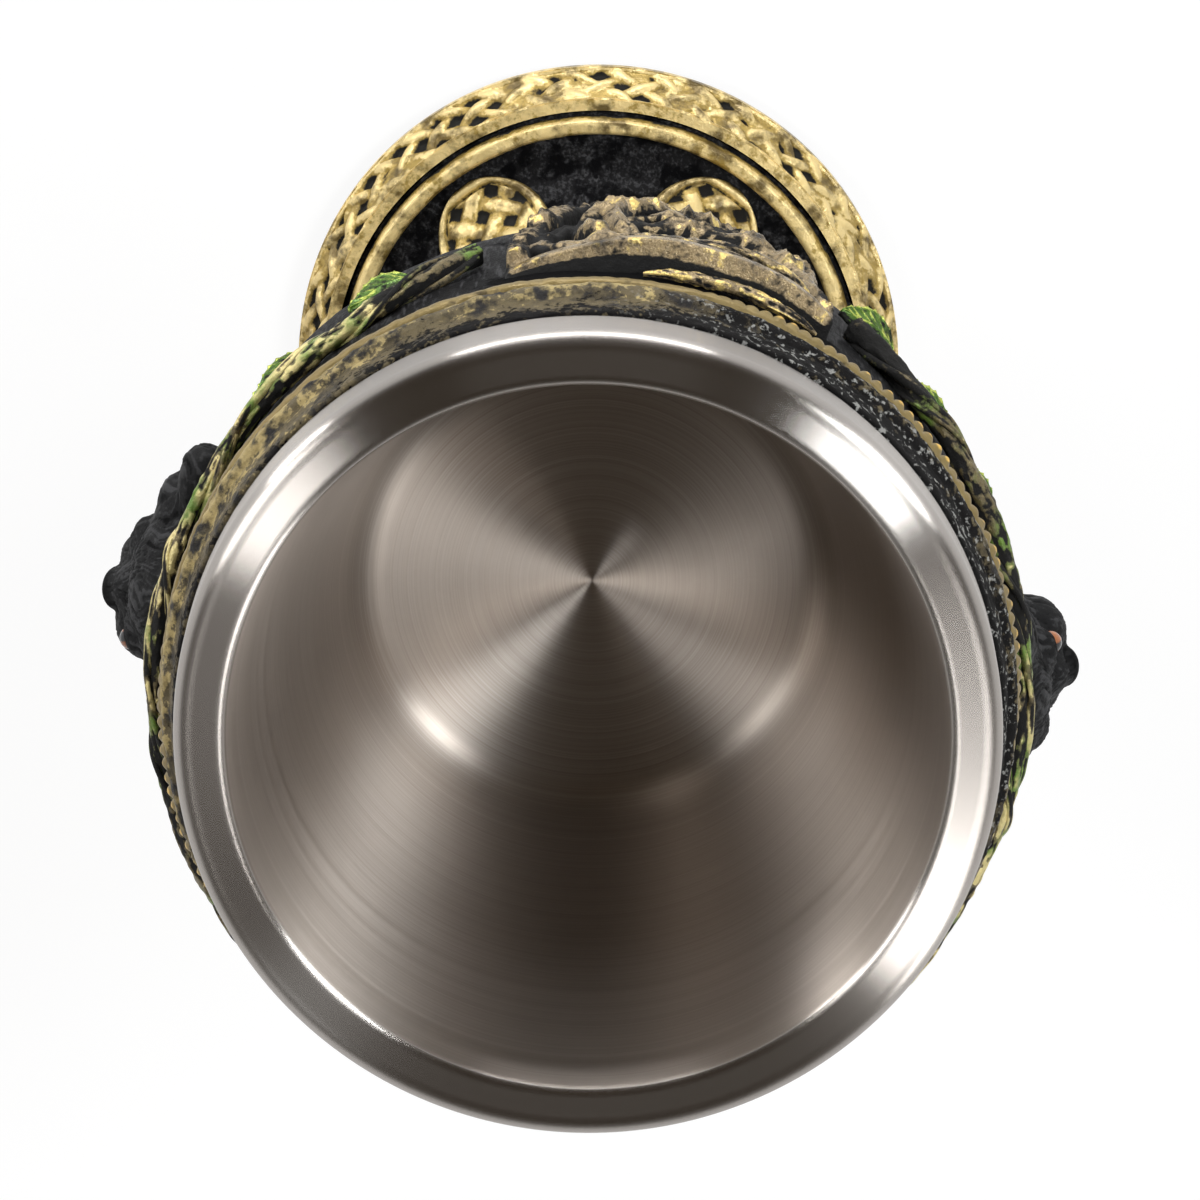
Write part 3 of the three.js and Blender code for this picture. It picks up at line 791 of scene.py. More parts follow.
@dataclass(frozen=True)
class SpunSteel(Finish):
    """Stainless steel spun on a lathe, with fine lines round its axis.

    Attributes:
        dark: The steel's colour between the lines.
        light: Its colour on the lines.
        roughness: The main roughness.
        lines: How many lines there are to the metre.
        mouth: The radius in metres outside which the steel is polished.
        polish: The roughness there.
        lip: The colour there.
    """

    dark: Colour = (0.365, 0.318, 0.276)
    light: Colour = (0.48, 0.43, 0.388)
    roughness: float = 0.37
    lines: float = 5200.0
    mouth: float = 0.036
    polish: float = 0.24
    lip: Colour = (0.42, 0.392, 0.366)

    def shader(self, graph: Graph) -> bpy.types.Node:
        """Adds the turning lines and gives the shader."""
        place = graph.add("ShaderNodeSeparateXYZ", {0: graph.place()})
        x, y, z = place.outputs
        squares = graph.math("ADD", graph.math("MULTIPLY", x, x), graph.math("MULTIPLY", y, y))
        radius = graph.math("SQRT", squares)
        polished = graph.step(radius, self.mouth, self.mouth + 0.0004)
        line = graph.add("ShaderNodeCombineXYZ", {0: radius, 1: z})
        fine = graph.noise(line.outputs[0], self.lines, 2.0)
        broad = graph.noise(line.outputs[0], self.lines / 9, 3.0)
        smudge = graph.noise(graph.place(), 55.0, 4.0)
        tone = graph.math("ADD", graph.math("MULTIPLY", fine, 0.8), graph.math("MULTIPLY", broad, 0.25))
        colour = graph.mix(graph.step(tone, 0.3, 0.8), self.dark, self.light)
        colour = graph.mix(polished, colour, self.lip)
        spread = graph.math("ADD", graph.math("MULTIPLY", tone, 0.16), graph.math("MULTIPLY", smudge, 0.1))
        rough = graph.math("ADD", spread, self.roughness - 0.13)
        change = graph.math("SUBTRACT", self.polish, rough)
        rough = graph.math("ADD", rough, graph.math("MULTIPLY", polished, change))
        depth = graph.math("MULTIPLY", tone, graph.math("SUBTRACT", 1.0, polished))
        bump = graph.add("ShaderNodeBump", {"Height": depth, "Distance": 0.000012, "Strength": 1.0})
        tangent = graph.add("ShaderNodeTangent", direction_type="RADIAL", axis="Z")
        return graph.add("ShaderNodeBsdfPrincipled", {
            "Base Color": colour, "Metallic": 1.0, "Roughness": rough, "Anisotropic": 1.0,
            "Anisotropic Rotation": 0.25, "Tangent": tangent.outputs[0], "Normal": bump.outputs[0],
        })


@dataclass(frozen=True)
class GlassEye(Finish):
    """A painted eye: an amber iris with a dark slit, under clear varnish.

    Attributes:
        iris: The iris's colour.
        edge: The colour at the iris's edge.
        slit: The slit's colour.
    """

    iris: Colour = (0.5, 0.17, 0.05)
    edge: Colour = (0.24, 0.07, 0.02)
    slit: Colour = (0.004, 0.004, 0.004)

    def shader(self, graph: Graph) -> bpy.types.Node:
        """Paints the eye by its relief and gives the shader."""
        relief = graph.add("ShaderNodeAttribute", attribute_name=RELIEF).outputs["Fac"]
        grain = self.group(graph, grain_group, {"Size": 2500.0})
        warm = graph.mix(grain.outputs["Tone"], self.edge, self.iris)
        colour = graph.mix(graph.step(relief, 0.35, 0.55), self.slit, warm)
        rough = graph.math("ADD", graph.math("MULTIPLY", grain.outputs["Tone"], 0.1), 0.18)
        return graph.add("ShaderNodeBsdfPrincipled", {
            "Base Color": colour, "Roughness": rough, "Coat Weight": 0.4, "Coat Roughness": 0.12,
        })


@dataclass(frozen=True)
class Felt(Finish):
    """Black pressed felt with a short nap.

    Attributes:
        dark: The colour deep in the nap.
        light: The colour of the fibre ends.
    """

    dark: Colour = (0.008, 0.008, 0.009)
    light: Colour = (0.05, 0.05, 0.055)

    def shader(self, graph: Graph) -> bpy.types.Node:
        """Adds the nap and gives the shader."""
        grain = self.group(graph, grain_group, {"Size": 1600.0, "Fine": 1.0})
        colour = graph.mix(graph.step(grain.outputs["Height"], 0.5, 1.1), self.dark, self.light)
        bump = graph.add("ShaderNodeBump", {"Height": grain.outputs["Height"], "Distance": 0.0003})
        return graph.add("ShaderNodeBsdfPrincipled", {
            "Base Color": colour, "Roughness": 0.95, "Sheen Weight": 0.25, "Normal": bump.outputs[0],
        })


STEEL = SpunSteel("spun steel", Slot.STEEL)
BLACK = PaintedResin(
    "black resin", Slot.BLACK,
    recess=(0.003, 0.003, 0.0035), flank=(0.008, 0.0078, 0.0084), crest=(0.1, 0.1, 0.105),
    crest_level=0.88, patchiness=0.6, strokes=0.5, roughness=0.66, grain_size=1300.0, specular=0.08,
)
FUR = PaintedResin(
    "black fur", Slot.BLACK,
    recess=(0.002, 0.002, 0.0022), flank=(0.008, 0.008, 0.0085), crest=(0.042, 0.042, 0.044),
    crest_level=0.7, patchiness=0.3, roughness=0.6, grain_size=2200.0, grain_depth=0.00006, specular=0.14,
)
GOLD = PaintedResin(
    "pale gold", Slot.GOLD,
    recess=(0.006, 0.005, 0.003), flank=(0.42, 0.29, 0.07), crest=(0.86, 0.665, 0.295),
    flank_level=0.4, crest_level=0.68, patchiness=0.7, roughness=0.34, metallic=0.3, grain_size=700.0,
    tint=(0.14, 0.095, 0.026), tint_share=0.36, tint_size=300.0,
)
OCHRE = PaintedResin(
    "ochre gold", Slot.GOLD,
    recess=(0.05, 0.036, 0.014), flank=(0.24, 0.175, 0.062), crest=(0.78, 0.5, 0.1),
    flank_level=0.2, crest_level=0.82, patchiness=0.5, roughness=0.4, metallic=0.3, grain_size=800.0,
)
BRONZE = PaintedResin(
    "aged bronze", Slot.BRONZE,
    recess=(0.003, 0.0028, 0.0028), flank=(0.32, 0.24, 0.13), crest=(0.85, 0.64, 0.22),
    flank_level=0.62, crest_level=0.98, patchiness=0.8, roughness=0.27, metallic=0.5, grain_size=1000.0,
    grain_depth=0.0002, tint=(0.03, 0.025, 0.02), tint_share=0.28, tint_size=330.0,
)
BARK = PaintedResin(
    "bark gold", Slot.BRONZE,
    recess=(0.004, 0.0035, 0.003), flank=(0.15, 0.115, 0.05), crest=(0.78, 0.66, 0.3),
    flank_level=0.45, crest_level=0.74, patchiness=0.8, roughness=0.35, metallic=0.25, grain_size=1000.0,
    grain_depth=0.0002, tint=(0.13, 0.24, 0.03), tint_share=0.36, tint_size=170.0,
)
BAND = WornBand(
    "worn band", Slot.BRONZE,
    recess=(0.007, 0.0065, 0.0065), flank=(0.13, 0.103, 0.055), crest=(0.46, 0.36, 0.16),
    flank_level=0.34, crest_level=0.86, patchiness=1.3, roughness=0.5, grain_size=1400.0, specular=0.2,
    grain_depth=0.0002, tint=(0.012, 0.0105, 0.01), tint_share=0.42, tint_size=330.0,
)
GREEN = PaintedResin(
    "leaf green", Slot.GREEN,
    recess=(0.003, 0.004, 0.002), flank=(0.08, 0.17, 0.014), crest=(0.56, 0.64, 0.12),
    flank_level=0.4, crest_level=0.74, patchiness=0.7, roughness=0.26, metallic=0.4, grain_size=900.0,
    tint=(0.012, 0.022, 0.006), tint_share=0.3, tint_size=420.0,
)
EYE = GlassEye("amber eye", Slot.BLACK)
FELT = Felt("black felt", Slot.FELT)


def dress(piece: bpy.types.Object, finish: Finish, nodes: Sequence[str], body: Body = Body.GOBLET) -> None:
    """Gives a piece its finish and joins it to the frame.

    Args:
        piece: The piece.
        finish: The finish that covers it.
        nodes: The model's nodes that it stands for.
        body: The body that it rides on.
    """
    piece.data.materials.append(finish.material())
    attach(piece, body.value)
    if nodes:
        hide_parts(*nodes)
    LOG.info("%s: %s on %s, %d faces", piece.name, finish.name, body.value, len(piece.data.polygons))


def corners(node: str) -> tuple[Array, Array]:
    """Gives a node's lowest and highest corner in millimetres."""
    low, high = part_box(node)
    return np.array(low) / MM, np.array(high) / MM


# The goblet's sub-assemblies, from the table up

@dataclass
class Foot:
    """The felt pad, the black foot with its dish, its two gold rings and its gold lappets.

    Attributes:
        edge_inset: How far the base plate's edge lies inside the knot ring.
        seat: The thickness of the base plate.
        gap: The fit between pieces.
        dish_blend: How far the dish runs level before it rises.
        neck_blend: How far below the neck the dish turns upright.
        neck_radius: The dish's radius at the neck.
        socket_radius: The radius of the socket for the stem.
        socket_depth: Its depth.
        knots: How many times the knot ring's plait repeats.
        lappets: How many lappets there are.
        lappet_turn: The azimuth of the first one, in degrees.
        lappet_length: The length of a lappet up the dish.
        lappet_half_width: Half its width.
        lappet_tip: The length of its rounded tip.
        lappet_thickness: How far its border stands out of the dish.
        plait_pitch: The pitch of the plait on it.
    """

    edge_inset: float = 0.5
    seat: float = 1.0
    gap: float = 0.3
    dish_blend: float = 6.5
    neck_blend: float = 26.0
    neck_radius: float = 12.2
    socket_radius: float = 7.8
    socket_depth: float = 9.3
    knots: int = 42
    lappets: int = 5
    lappet_turn: float = 40.5
    lappet_length: float = 25.0
    lappet_half_width: float = 7.3
    lappet_tip: float = 7.0
    lappet_thickness: float = 1.2
    plait_pitch: float = 5.2

    def __post_init__(self) -> None:
        """Reads the heights and radii from the frame."""
        self.bottom, self.top = (c[2] for c in corners("foot"))
        ridge_low, ridge_high = corners("foot_ridge_ring")
        self.tier_top = ridge_low[2] - self.gap
        self.ridge_outer = ridge_high[0]
        self.ridge_top = ridge_high[2]
        self.ridge_inner = self.ridge_outer - 2.2
        self.tier_radius = self.ridge_outer + 0.4
        self.radius = corners("foot_knot_ring")[1][0]

    def dish(self, steps: int) -> Array:
        """Gives the dish's profile from the ridge ring up to the neck."""
        start = self.ridge_inner - self.gap
        line = Profile(start, self.tier_top).curve(
            (start - self.dish_blend, self.tier_top),
            (self.neck_radius, self.top - self.neck_blend),
            (self.neck_radius, self.top),
            steps=steps,
        )
        return line.array()

    def pebbled(self, azimuth: Array, along: Array, points: Array) -> tuple[Array, Array]:
        """Pebbles the dish and leaves the base plate and the socket plain."""
        radius = np.hypot(points[..., 0], points[..., 1])
        on_dish = (points[..., 2] > self.tier_top - 0.1) & (radius > self.socket_radius + 1)
        lumps = noise(points, 1.7, 1) * 0.65 + noise(points, 0.8, 2) * 0.35
        stones = smooth(lumps, 0.35, 0.7)
        return np.where(on_dish, 0.24 * stones - 0.1, 0.0), np.where(on_dish, 0.2 + 0.48 * stones, 0.3)

    def build_pad(self) -> None:
        """Builds the felt pad."""
        low, high = corners("felt_pad")
        radius = high[0]
        edge = 0.35
        line = Profile(0, low[2]).line(radius - edge, low[2], 24)
        line.curve((radius, low[2]), (radius, low[2] + edge), steps=4)
        line.line(radius, high[2] + self.gap, 4).line(0, high[2] + self.gap, 24)

        def nap(azimuth: Array, along: Array, points: Array) -> tuple[Array, Array]:
            """Roughens the pad's edge and leaves the face that it stands on flat."""
            raised = np.where(points[..., 2] > low[2] + edge / 2, 0.16 * noise(points, 0.9, 3) - 0.08, 0.0)
            return raised, noise(points, 2.0, 4)

        dress(turned(line.array(), 192, shape=nap).piece("felt_disc", 50), FELT, ["felt_pad"])

    def build_base(self) -> None:
        """Builds the black foot."""
        edge = self.radius - self.edge_inset
        seat = self.bottom + self.seat
        line = Profile(0, self.bottom).line(edge, self.bottom, 12).line(edge, seat, 2)
        line.line(self.tier_radius, seat, 4).line(self.tier_radius, self.tier_top, 4)
        line.add(self.dish(110)).line(self.socket_radius, self.top, 4)
        line.line(self.socket_radius, self.top - self.socket_depth, 4).line(0, self.top - self.socket_depth, 6)
        solid = turned(line.array(), 360, shape=self.pebbled)
        dress(solid.piece("cast_foot", 55), BLACK, ["foot"])

    def build_knot_ring(self) -> None:
        """Builds the gold border with its plait between two raised edges."""
        low, high = corners("foot_knot_ring")
        bore = self.tier_radius + self.gap
        edge, crest = 1.2, 1.3
        bottom, top = low[2], high[2]
        face_low = np.array([self.radius, bottom + edge])
        face_high = np.array([bore + crest, top])
        width = np.linalg.norm(face_high - face_low)
        line = Profile(bore, bottom).line(self.radius, bottom, 4).line(*face_low, 3)
        start = self.radius - bore + edge
        line.line(*face_high, 44).line(bore, top, 6).line(bore, bottom + 0.2, 4)
        pitch = TURN * (self.radius + bore + crest) / 2 / self.knots

        def carved(azimuth: Array, along: Array, points: Array) -> tuple[Array, Array]:
            """Carves the plait into the sloping face, with many of its gaps filled by paint."""
            across = along - start - width / 2
            on_face = smooth(width / 2 - np.abs(across), -0.02, 0.1)
            run = self.knots * pitch * azimuth / TURN
            bent = 1.3 * (noise(points, 2.8, 41) - 0.5)
            weave = plait(1.45 * across + bent, run + 0 * across, pitch, 0.3)
            filled = 0.62 * smooth(noise(points, 2.6, 40), 0.42, 0.58)
            rims = np.exp(-(((np.abs(across) - width / 2 + 0.3) / 0.3) ** 2))
            form = np.maximum(np.maximum(weave, filled), 0.95 * rims)
            worn = noise(points, 2.2, 5) * 0.6 + noise(points, 0.7, 6) * 0.4
            raised = on_face * (0.9 * form - 0.8 + 0.25 * (worn - 0.5))
            relief = np.where(on_face > 0.5, form * (0.7 + 0.6 * worn), 0.62 + 0.3 * worn)
            return raised, relief

        solid = turned(line.array(), 900, ring=True, shape=carved)
        dress(solid.piece("cast_foot_knot_ring", 60), GOLD, ["foot_knot_ring"])

    def build_ridge_ring(self) -> None:
        """Builds the plain gold ridge, softly hammered."""
        bottom = self.tier_top
        middle = (self.ridge_inner + self.ridge_outer) / 2
        half = (self.ridge_outer - self.ridge_inner) / 2
        line = Profile(self.ridge_inner, bottom).line(self.ridge_outer, bottom, 3)
        line.curve((self.ridge_outer, self.ridge_top), (middle + half / 3, self.ridge_top), steps=10)
        line.line(middle - half / 3, self.ridge_top, 3)
        line.curve((self.ridge_inner, self.ridge_top), (self.ridge_inner, bottom + 0.1), steps=10)

        def hammered(azimuth: Array, along: Array, points: Array) -> tuple[Array, Array]:
            """Dents the ridge."""
            dents = noise(points, 2.6, 7) * 0.7 + noise(points, 0.9, 8) * 0.3
            height = smooth(points[..., 2], bottom, self.ridge_top)
            return 0.3 * (dents - 0.6) * height, 0.25 + 0.55 * height + 0.5 * (dents - 0.5)

        solid = turned(line.array(), 480, ring=True, shape=hammered)
        dress(solid.piece("cast_foot_ridge", 60), GOLD, ["foot_ridge_ring"])

    def lappet(self) -> Solid:
        """Gives the lappet at azimuth zero: a tongue with a rim, filled with a plait."""
        dish = self.dish(400)
        tangent = np.gradient(dish, axis=0)
        tangent /= np.linalg.norm(tangent, axis=1, keepdims=True)
        length = np.concatenate([[0], np.cumsum(np.linalg.norm(np.diff(dish, axis=0), axis=1))])
        along = self.lappet_length * np.linspace(0, 1, 96) ** 1.3
        place = self.gap + along + 0.5
        base = np.stack([np.interp(place, length, dish[:, k]) for k in (0, 1)], -1)
        lean = np.stack([np.interp(place, length, tangent[:, k]) for k in (0, 1)], -1)
        rounding = np.minimum(along / self.lappet_tip, 1)
        blade = np.maximum(self.lappet_half_width * np.sqrt(1 - (1 - rounding) ** 2), 1.1)
        half = np.minimum(blade, math.pi * base[:, 0] / self.lappets - self.gap)[:, None]
        across = np.linspace(-1, 1, 61)[None, :] * half
        from_edge = np.minimum(half - np.abs(across), along[:, None])
        rim = np.exp(-(((from_edge - 0.85) / 0.7) ** 4))
        inside = smooth(from_edge, 1.5, 1.9)
        knots = plait(across, np.broadcast_to(along[:, None], across.shape), self.plait_pitch, 0.33)
        spot = np.stack([across, np.broadcast_to(along[:, None], across.shape), 0 * across], -1)
        worn = noise(spot, 1.8, 9) * 0.6 + noise(spot, 0.7, 10) * 0.4
        form = np.maximum(rim, inside * knots)
        raised = self.lappet_thickness * (0.3 + 0.75 * form) + 0.25 * (worn - 0.5)
        raised *= smooth(from_edge, -0.2, 0.35)
        azimuth = across / base[:, :1]

        def lifted(height: Array) -> Array:
            """Gives the tongue's points at a height over the dish."""
            radius = base[:, :1] + lean[:, 1:] * height
            return polar(radius, azimuth, base[:, 1:] - lean[:, :1] * height)

        relief = form * (0.72 + 0.5 * worn)
        return slab(lifted(raised), lifted(np.full(across.shape, -0.8)), relief)

    def build(self) -> None:
        """Builds the foot's pieces."""
        self.build_pad()
        self.build_base()
        self.build_knot_ring()
        self.build_ridge_ring()
        tongue = self.lappet()
        for index in range(self.lappets):
            azimuth = math.radians(self.lappet_turn) + TURN * index / self.lappets
            piece = tongue.spun(azimuth).piece(f"cast_lappet_{index + 1}")
            dress(piece, GOLD, [f"foot_lappet_{index + 1}"])


@dataclass
class Stem:
    """The black stem, carved as bark, and the gold knop that rests on its shoulder.

    Attributes:
        foot_radius: The stem's radius where it stands on the foot.
        waist_radius: Its radius below the knop.
        shaft_radius: Its radius inside and above the knop.
        spigot_radius: The radius of the spigots at its ends.
        spigot_length: Their length.
        knop_edge: The knop's radius at its top and bottom.
        gap: The fit between pieces.
        knop_waves: How many full swings the knop's braid makes.
    """

    foot_radius: float = 12.0
    waist_radius: float = 10.6
    shaft_radius: float = 9.2
    spigot_radius: float = 7.5
    spigot_length: float = 9.0
    knop_edge: float = 12.4
    gap: float = 0.3
    knop_waves: int = 9

    def build_shaft(self) -> None:
        """Builds the stem with its bark."""
        low, high = corners("stem")
        bottom, top = low[2] + self.spigot_length, high[2] - self.spigot_length
        shoulder = corners("stem_knop")[0][2] - self.gap
        middle = (bottom + shoulder) / 2
        line = Profile(0, low[2]).line(self.spigot_radius, low[2], 4).line(self.spigot_radius, bottom, 4)
        line.line(self.foot_radius, bottom, 5)
        line.curve((self.waist_radius, (bottom + middle) / 2), (self.waist_radius, middle), steps=26)
        line.line(self.waist_radius, shoulder, 20).line(self.shaft_radius, shoulder, 4)
        line.line(self.shaft_radius, top, 70).line(self.spigot_radius, top, 4)
        line.line(self.spigot_radius, high[2], 4).line(0, high[2], 4)

        def bark(azimuth: Array, along: Array, points: Array) -> tuple[Array, Array]:
            """Cuts upright furrows that wander."""
            x, y, z = np.moveaxis(points, -1, 0)
            shown = smooth(z, bottom, bottom + 1.5) * smooth(-z, -top, -top + 1.5)
            shown = shown * smooth(np.hypot(x, y), self.spigot_radius + 0.5, self.spigot_radius + 1.5)
            wander = np.stack([x, y, z * 0.16], -1)
            furrow = np.abs(noise(wander, 2.4, 11) - 0.5) * 2
            fine = noise(wander, 0.9, 12)
            form = smooth(furrow, 0.03, 0.5) * 0.7 + 0.3 * fine
            return shown * (0.75 * form - 0.55), 0.2 + 0.75 * form * shown

        dress(turned(line.array(), 256, shape=bark).piece("cast_stem", 60), BLACK, ["stem"])

    def build_knop(self) -> None:
        """Builds the knop with its braid."""
        low, high = corners("stem_knop")
        bore = self.shaft_radius + self.gap
        radius = high[0]
        bottom, top = low[2], high[2]
        rise = (top - bottom) / 3
        line = Profile(bore, bottom).line(self.knop_edge, bottom, 5)
        line.curve((radius - 0.4, bottom + rise / 3), (radius, bottom + rise), steps=16)
        line.line(radius, top - rise, 16)
        line.curve((radius - 0.4, top - rise / 3), (self.knop_edge, top), steps=16)
        line.line(bore, top, 5).line(bore, bottom + 0.4, 10)
        half = (top - bottom) / 2

        def carved(azimuth: Array, along: Array, points: Array) -> tuple[Array, Array]:
            """Carves the braid between two plain edges."""
            z = points[..., 2]
            across = z - (top + bottom) / 2
            on_face = smooth(np.hypot(points[..., 0], points[..., 1]), bore + 1.2, self.knop_edge)
            swing = braid(self.knop_waves * azimuth, across, 2.7, 1.15, radius / self.knop_waves, 3)
            rims = np.exp(-(((np.abs(across) - half + 0.6) / 0.6) ** 2))
            form = np.maximum(swing, rims)
            worn = noise(points, 2.4, 13) * 0.6 + noise(points, 0.8, 14) * 0.4
            return on_face * (1.0 * form - 0.9 + 0.25 * (worn - 0.5)), form * (0.75 + 0.45 * worn)

        solid = turned(line.array(), 480, ring=True, shape=carved)
        dress(solid.piece("cast_stem_knop", 65), GOLD, ["stem_knop"])

    def build(self) -> None:
        """Builds the stem's pieces."""
        self.build_shaft()
        self.build_knop()


@dataclass
class Liner:
    """The spun steel cup that drops into the casing.

    Attributes:
        floor_radius: The radius of its flat floor.
        heel: The size of the curve from the floor to the wall.
        wall: The steel's thickness.
        wall_draw: How far the wall bows inwards.
        mouth_radius: The radius of the mouth.
        lip_round: The rounding of the mouth's edge.
        lip_drop: How far the lip slopes down outwards.
        shoulder: The rounding of the lip's outer edge.
        skirt_drop: How far below the lip the skirt ends.
    """

    floor_radius: float = 22.1
    heel: float = 4.4
    wall: float = 0.7
    wall_draw: float = 2.5
    mouth_radius: float = 36.0
    lip_round: float = 0.9
    lip_drop: float = 0.5
    shoulder: float = 1.8
    skirt_drop: float = 8.3

    def __post_init__(self) -> None:
        """Reads the heights and the skirt's radius from the frame."""
        low, high = corners("steel_liner")
        self.floor = low[2] + self.wall
        self.lip_top = high[2]
        self.skirt_radius = high[0]

    def bowl(self, outset: float, top: float, fine: int) -> Profile:
        """Draws the cup's side from the axis up to the mouth.

        Args:
            outset: How far outside the drinking side it lies.
            top: The height at which it ends.
            fine: How many steps each curve takes.

        Returns:
            The profile.
        """
        floor = self.floor - outset
        heel = (self.floor_radius + self.heel + outset, self.floor + self.heel)
        mouth = (self.mouth_radius + outset, top)
        line = Profile(0, floor).line(self.floor_radius, floor, fine)
        line.curve((heel[0] - self.heel / 4, floor), heel, steps=fine)
        line.curve((mouth[0] - self.wall_draw, (heel[1] + top) / 2), mouth, steps=2 * fine)
        return line

    def side(self, outset: float, fine: int) -> Array:
        """Draws one whole side of the steel, from the axis to the skirt's edge."""
        top = self.lip_top - outset
        skirt = self.skirt_radius - outset
        line = self.bowl(outset, top - self.lip_round, fine)
        crown = (self.mouth_radius + self.lip_round, top)
        line.curve((self.mouth_radius + outset, top), crown, steps=fine // 2)
        line.line(self.skirt_radius - self.shoulder, top - self.lip_drop, fine // 3)
        turn = self.lip_top - self.lip_drop - self.shoulder
        line.curve((skirt, top - self.lip_drop), (skirt, turn), steps=fine // 2)
        line.line(skirt, self.lip_top - self.skirt_drop, 4)
        return line.array()

    def build(self) -> None:
        """Builds the liner."""
        fine = 24
        profile = np.concatenate([self.side(self.wall, fine // 2), self.side(0, fine)[::-1]])
        solid = turned(profile, 256)
        dress(solid.piece("spun_liner", 50), STEEL, ["steel_liner"], Body.LINER)


@dataclass
class Casing:
    """The black bowl that holds the liner, with the band and the bead ring round its neck.

    Attributes:
        liner: The liner that it holds.
        neck_radius: Its radius at the stem.
        belly_radius: Its widest radius.
        belly_drop: How far below the ledge the belly lies.
        ledge_radius: Its radius at the ledge under the bead ring.
        clearance: The room round the liner.
        skirt_clearance: The room inside the liner's skirt.
        chamfer: The chamfer at the top of the neck.
        socket_radius: The radius of the socket for the stem.
        socket_depth: Its depth.
        gap: The fit between pieces.
        painted_shade_turn: The azimuth, in degrees, round which the wall over the panels is painted black as
            painted shade under the bead ring.
        beads: How many beads the bead ring has.
        bead_turn: The azimuth, in degrees, at which its beads are least rubbed.
    """

    liner: Liner
    neck_radius: float = 11.6
    belly_radius: float = 43.5
    belly_drop: float = 20.0
    ledge_radius: float = 43.1
    clearance: float = 1.0
    skirt_clearance: float = 0.5
    chamfer: float = 0.6
    socket_radius: float = 7.8
    socket_depth: float = 9.3
    gap: float = 0.3
    painted_shade_turn: float = -6.6
    beads: int = 184
    bead_turn: float = -52.0

    def __post_init__(self) -> None:
        """Reads the heights from the frame and draws the wall."""
        low, high = corners("bowl_casing")
        self.bottom, self.neck_top = low[2], high[2]
        self.ledge = corners("rim_bead_ring")[0][2] - self.gap
        self.rim_radius = self.liner.skirt_radius - self.liner.wall - self.skirt_clearance
        self.wall = self.draw_wall(40)

    def draw_wall(self, fine: int) -> Array:
        """Draws the outer wall from the stem to the ledge."""
        floor = self.liner.floor - self.liner.wall - self.clearance
        rise = floor - self.bottom
        foot = self.liner.floor_radius
        line = Profile(self.neck_radius, self.bottom).curve(
            (self.neck_radius, self.bottom + rise / 3),
            ((self.neck_radius + foot) / 2, self.bottom + rise / 2),
            steps=fine // 2,
        )
        line.curve(
            (foot + self.liner.heel, floor - rise / 3),
            (self.belly_radius, floor + self.liner.heel),
            (self.belly_radius, self.ledge - self.belly_drop),
            steps=2 * fine,
        )
        return line.line(self.ledge_radius, self.ledge, fine).array()

    def radius_at(self, height: Array) -> Array:
        """Gives the wall's radius at heights."""
        return np.interp(height, self.wall[:, 1], self.wall[:, 0])

    def on_wall(self, azimuth: Array, across: Array, height: Array, raised: Array) -> Array:
        """Gives points over the wall.

        Args:
            azimuth: The azimuth that distances across are counted from, in radians.
            across: The distance along the wall towards larger azimuths.
            height: The height.
            raised: How far the point stands out of the wall.

        Returns:
            The points, as (..., 3).
        """
        radius = self.radius_at(height)
        return polar(radius + raised, azimuth + across / radius, height)

    def build_bowl(self) -> None:
        """Builds the casing with the tool marks on its wall."""
        outset = self.liner.wall + self.clearance
        cavity = self.liner.bowl(outset, self.neck_top, 12).array()
        line = Profile(0, self.bottom + self.socket_depth)
        line.line(self.socket_radius, self.bottom + self.socket_depth, 4)
        line.line(self.socket_radius, self.bottom, 4).add(self.wall)
        line.line(self.rim_radius, self.ledge, 3).line(self.rim_radius, self.neck_top - self.chamfer, 4)
        line.line(self.rim_radius - self.chamfer, self.neck_top, 2).add(cavity[::-1])
        wall_end = self.ledge - 0.4

        def tooled(azimuth: Array, along: Array, points: Array) -> tuple[Array, Array]:
            """Scores the outer wall with slanting tool marks, and paints the wall black as painted shade
            between the bead ring and the panels' tops.
            """
            x, y, z = np.moveaxis(points, -1, 0)
            outside = np.hypot(x, y) > self.radius_at(z) - 0.2
            shown = outside & (z < wall_end) & (z > self.bottom + 0.4)
            slant = azimuth + 0.012 * z
            radius = np.hypot(x, y)
            marks = np.stack([radius * np.sin(slant), -radius * np.cos(slant), 0.14 * z], -1)
            form = noise(marks, 1.5, 15) * 0.6 + noise(marks, 0.7, 16) * 0.4
            form = form * 0.8 + 0.2 * noise(points, 6.0, 17)
            # Painted shade: just under the bead ring, over each panel, the wall gets no paint relief, so it
            # stays black like the shadowed slot above the panel's ledge.
            aside = np.abs(np.sin(azimuth - math.radians(self.painted_shade_turn)))
            clear_of_painted_shade = 1 - (1 - smooth(aside, 0.36, 0.46)) * smooth(z, self.ledge - 6.0, self.ledge - 4.0)
            relief = (0.15 + 0.8 * form) * clear_of_painted_shade
            return np.where(shown, 0.42 * (form - 0.6), 0.0), np.where(shown, relief, 0.3)

        dress(turned(line.array(), 480, shape=tooled).piece("cast_bowl", 55), BLACK, ["bowl_casing"])

    def build_band(self) -> None:
        """Builds the worn band under the steel lip."""
        low, high = corners("rim_band")
        bore = self.rim_radius + self.gap
        foot, top = high[0], self.liner.skirt_radius + 0.3
        bottom, crown = low[2], high[2]
        rise = crown - bottom
        line = Profile(bore, bottom).line(foot - 0.4, bottom, 4)
        line.curve((foot, bottom), (foot, bottom + 0.5), steps=5)
        line.curve((foot + 0.1, bottom + rise / 4), (foot - 0.9, bottom + rise / 3), steps=10)
        line.curve((top + 0.4, bottom + rise / 2), (top + 0.3, crown - rise / 8), steps=14)
        line.curve((top + 0.2, crown), (top - 0.2, crown), steps=5)
        line.line(bore, crown, 3).line(bore, bottom + 0.3, 6)

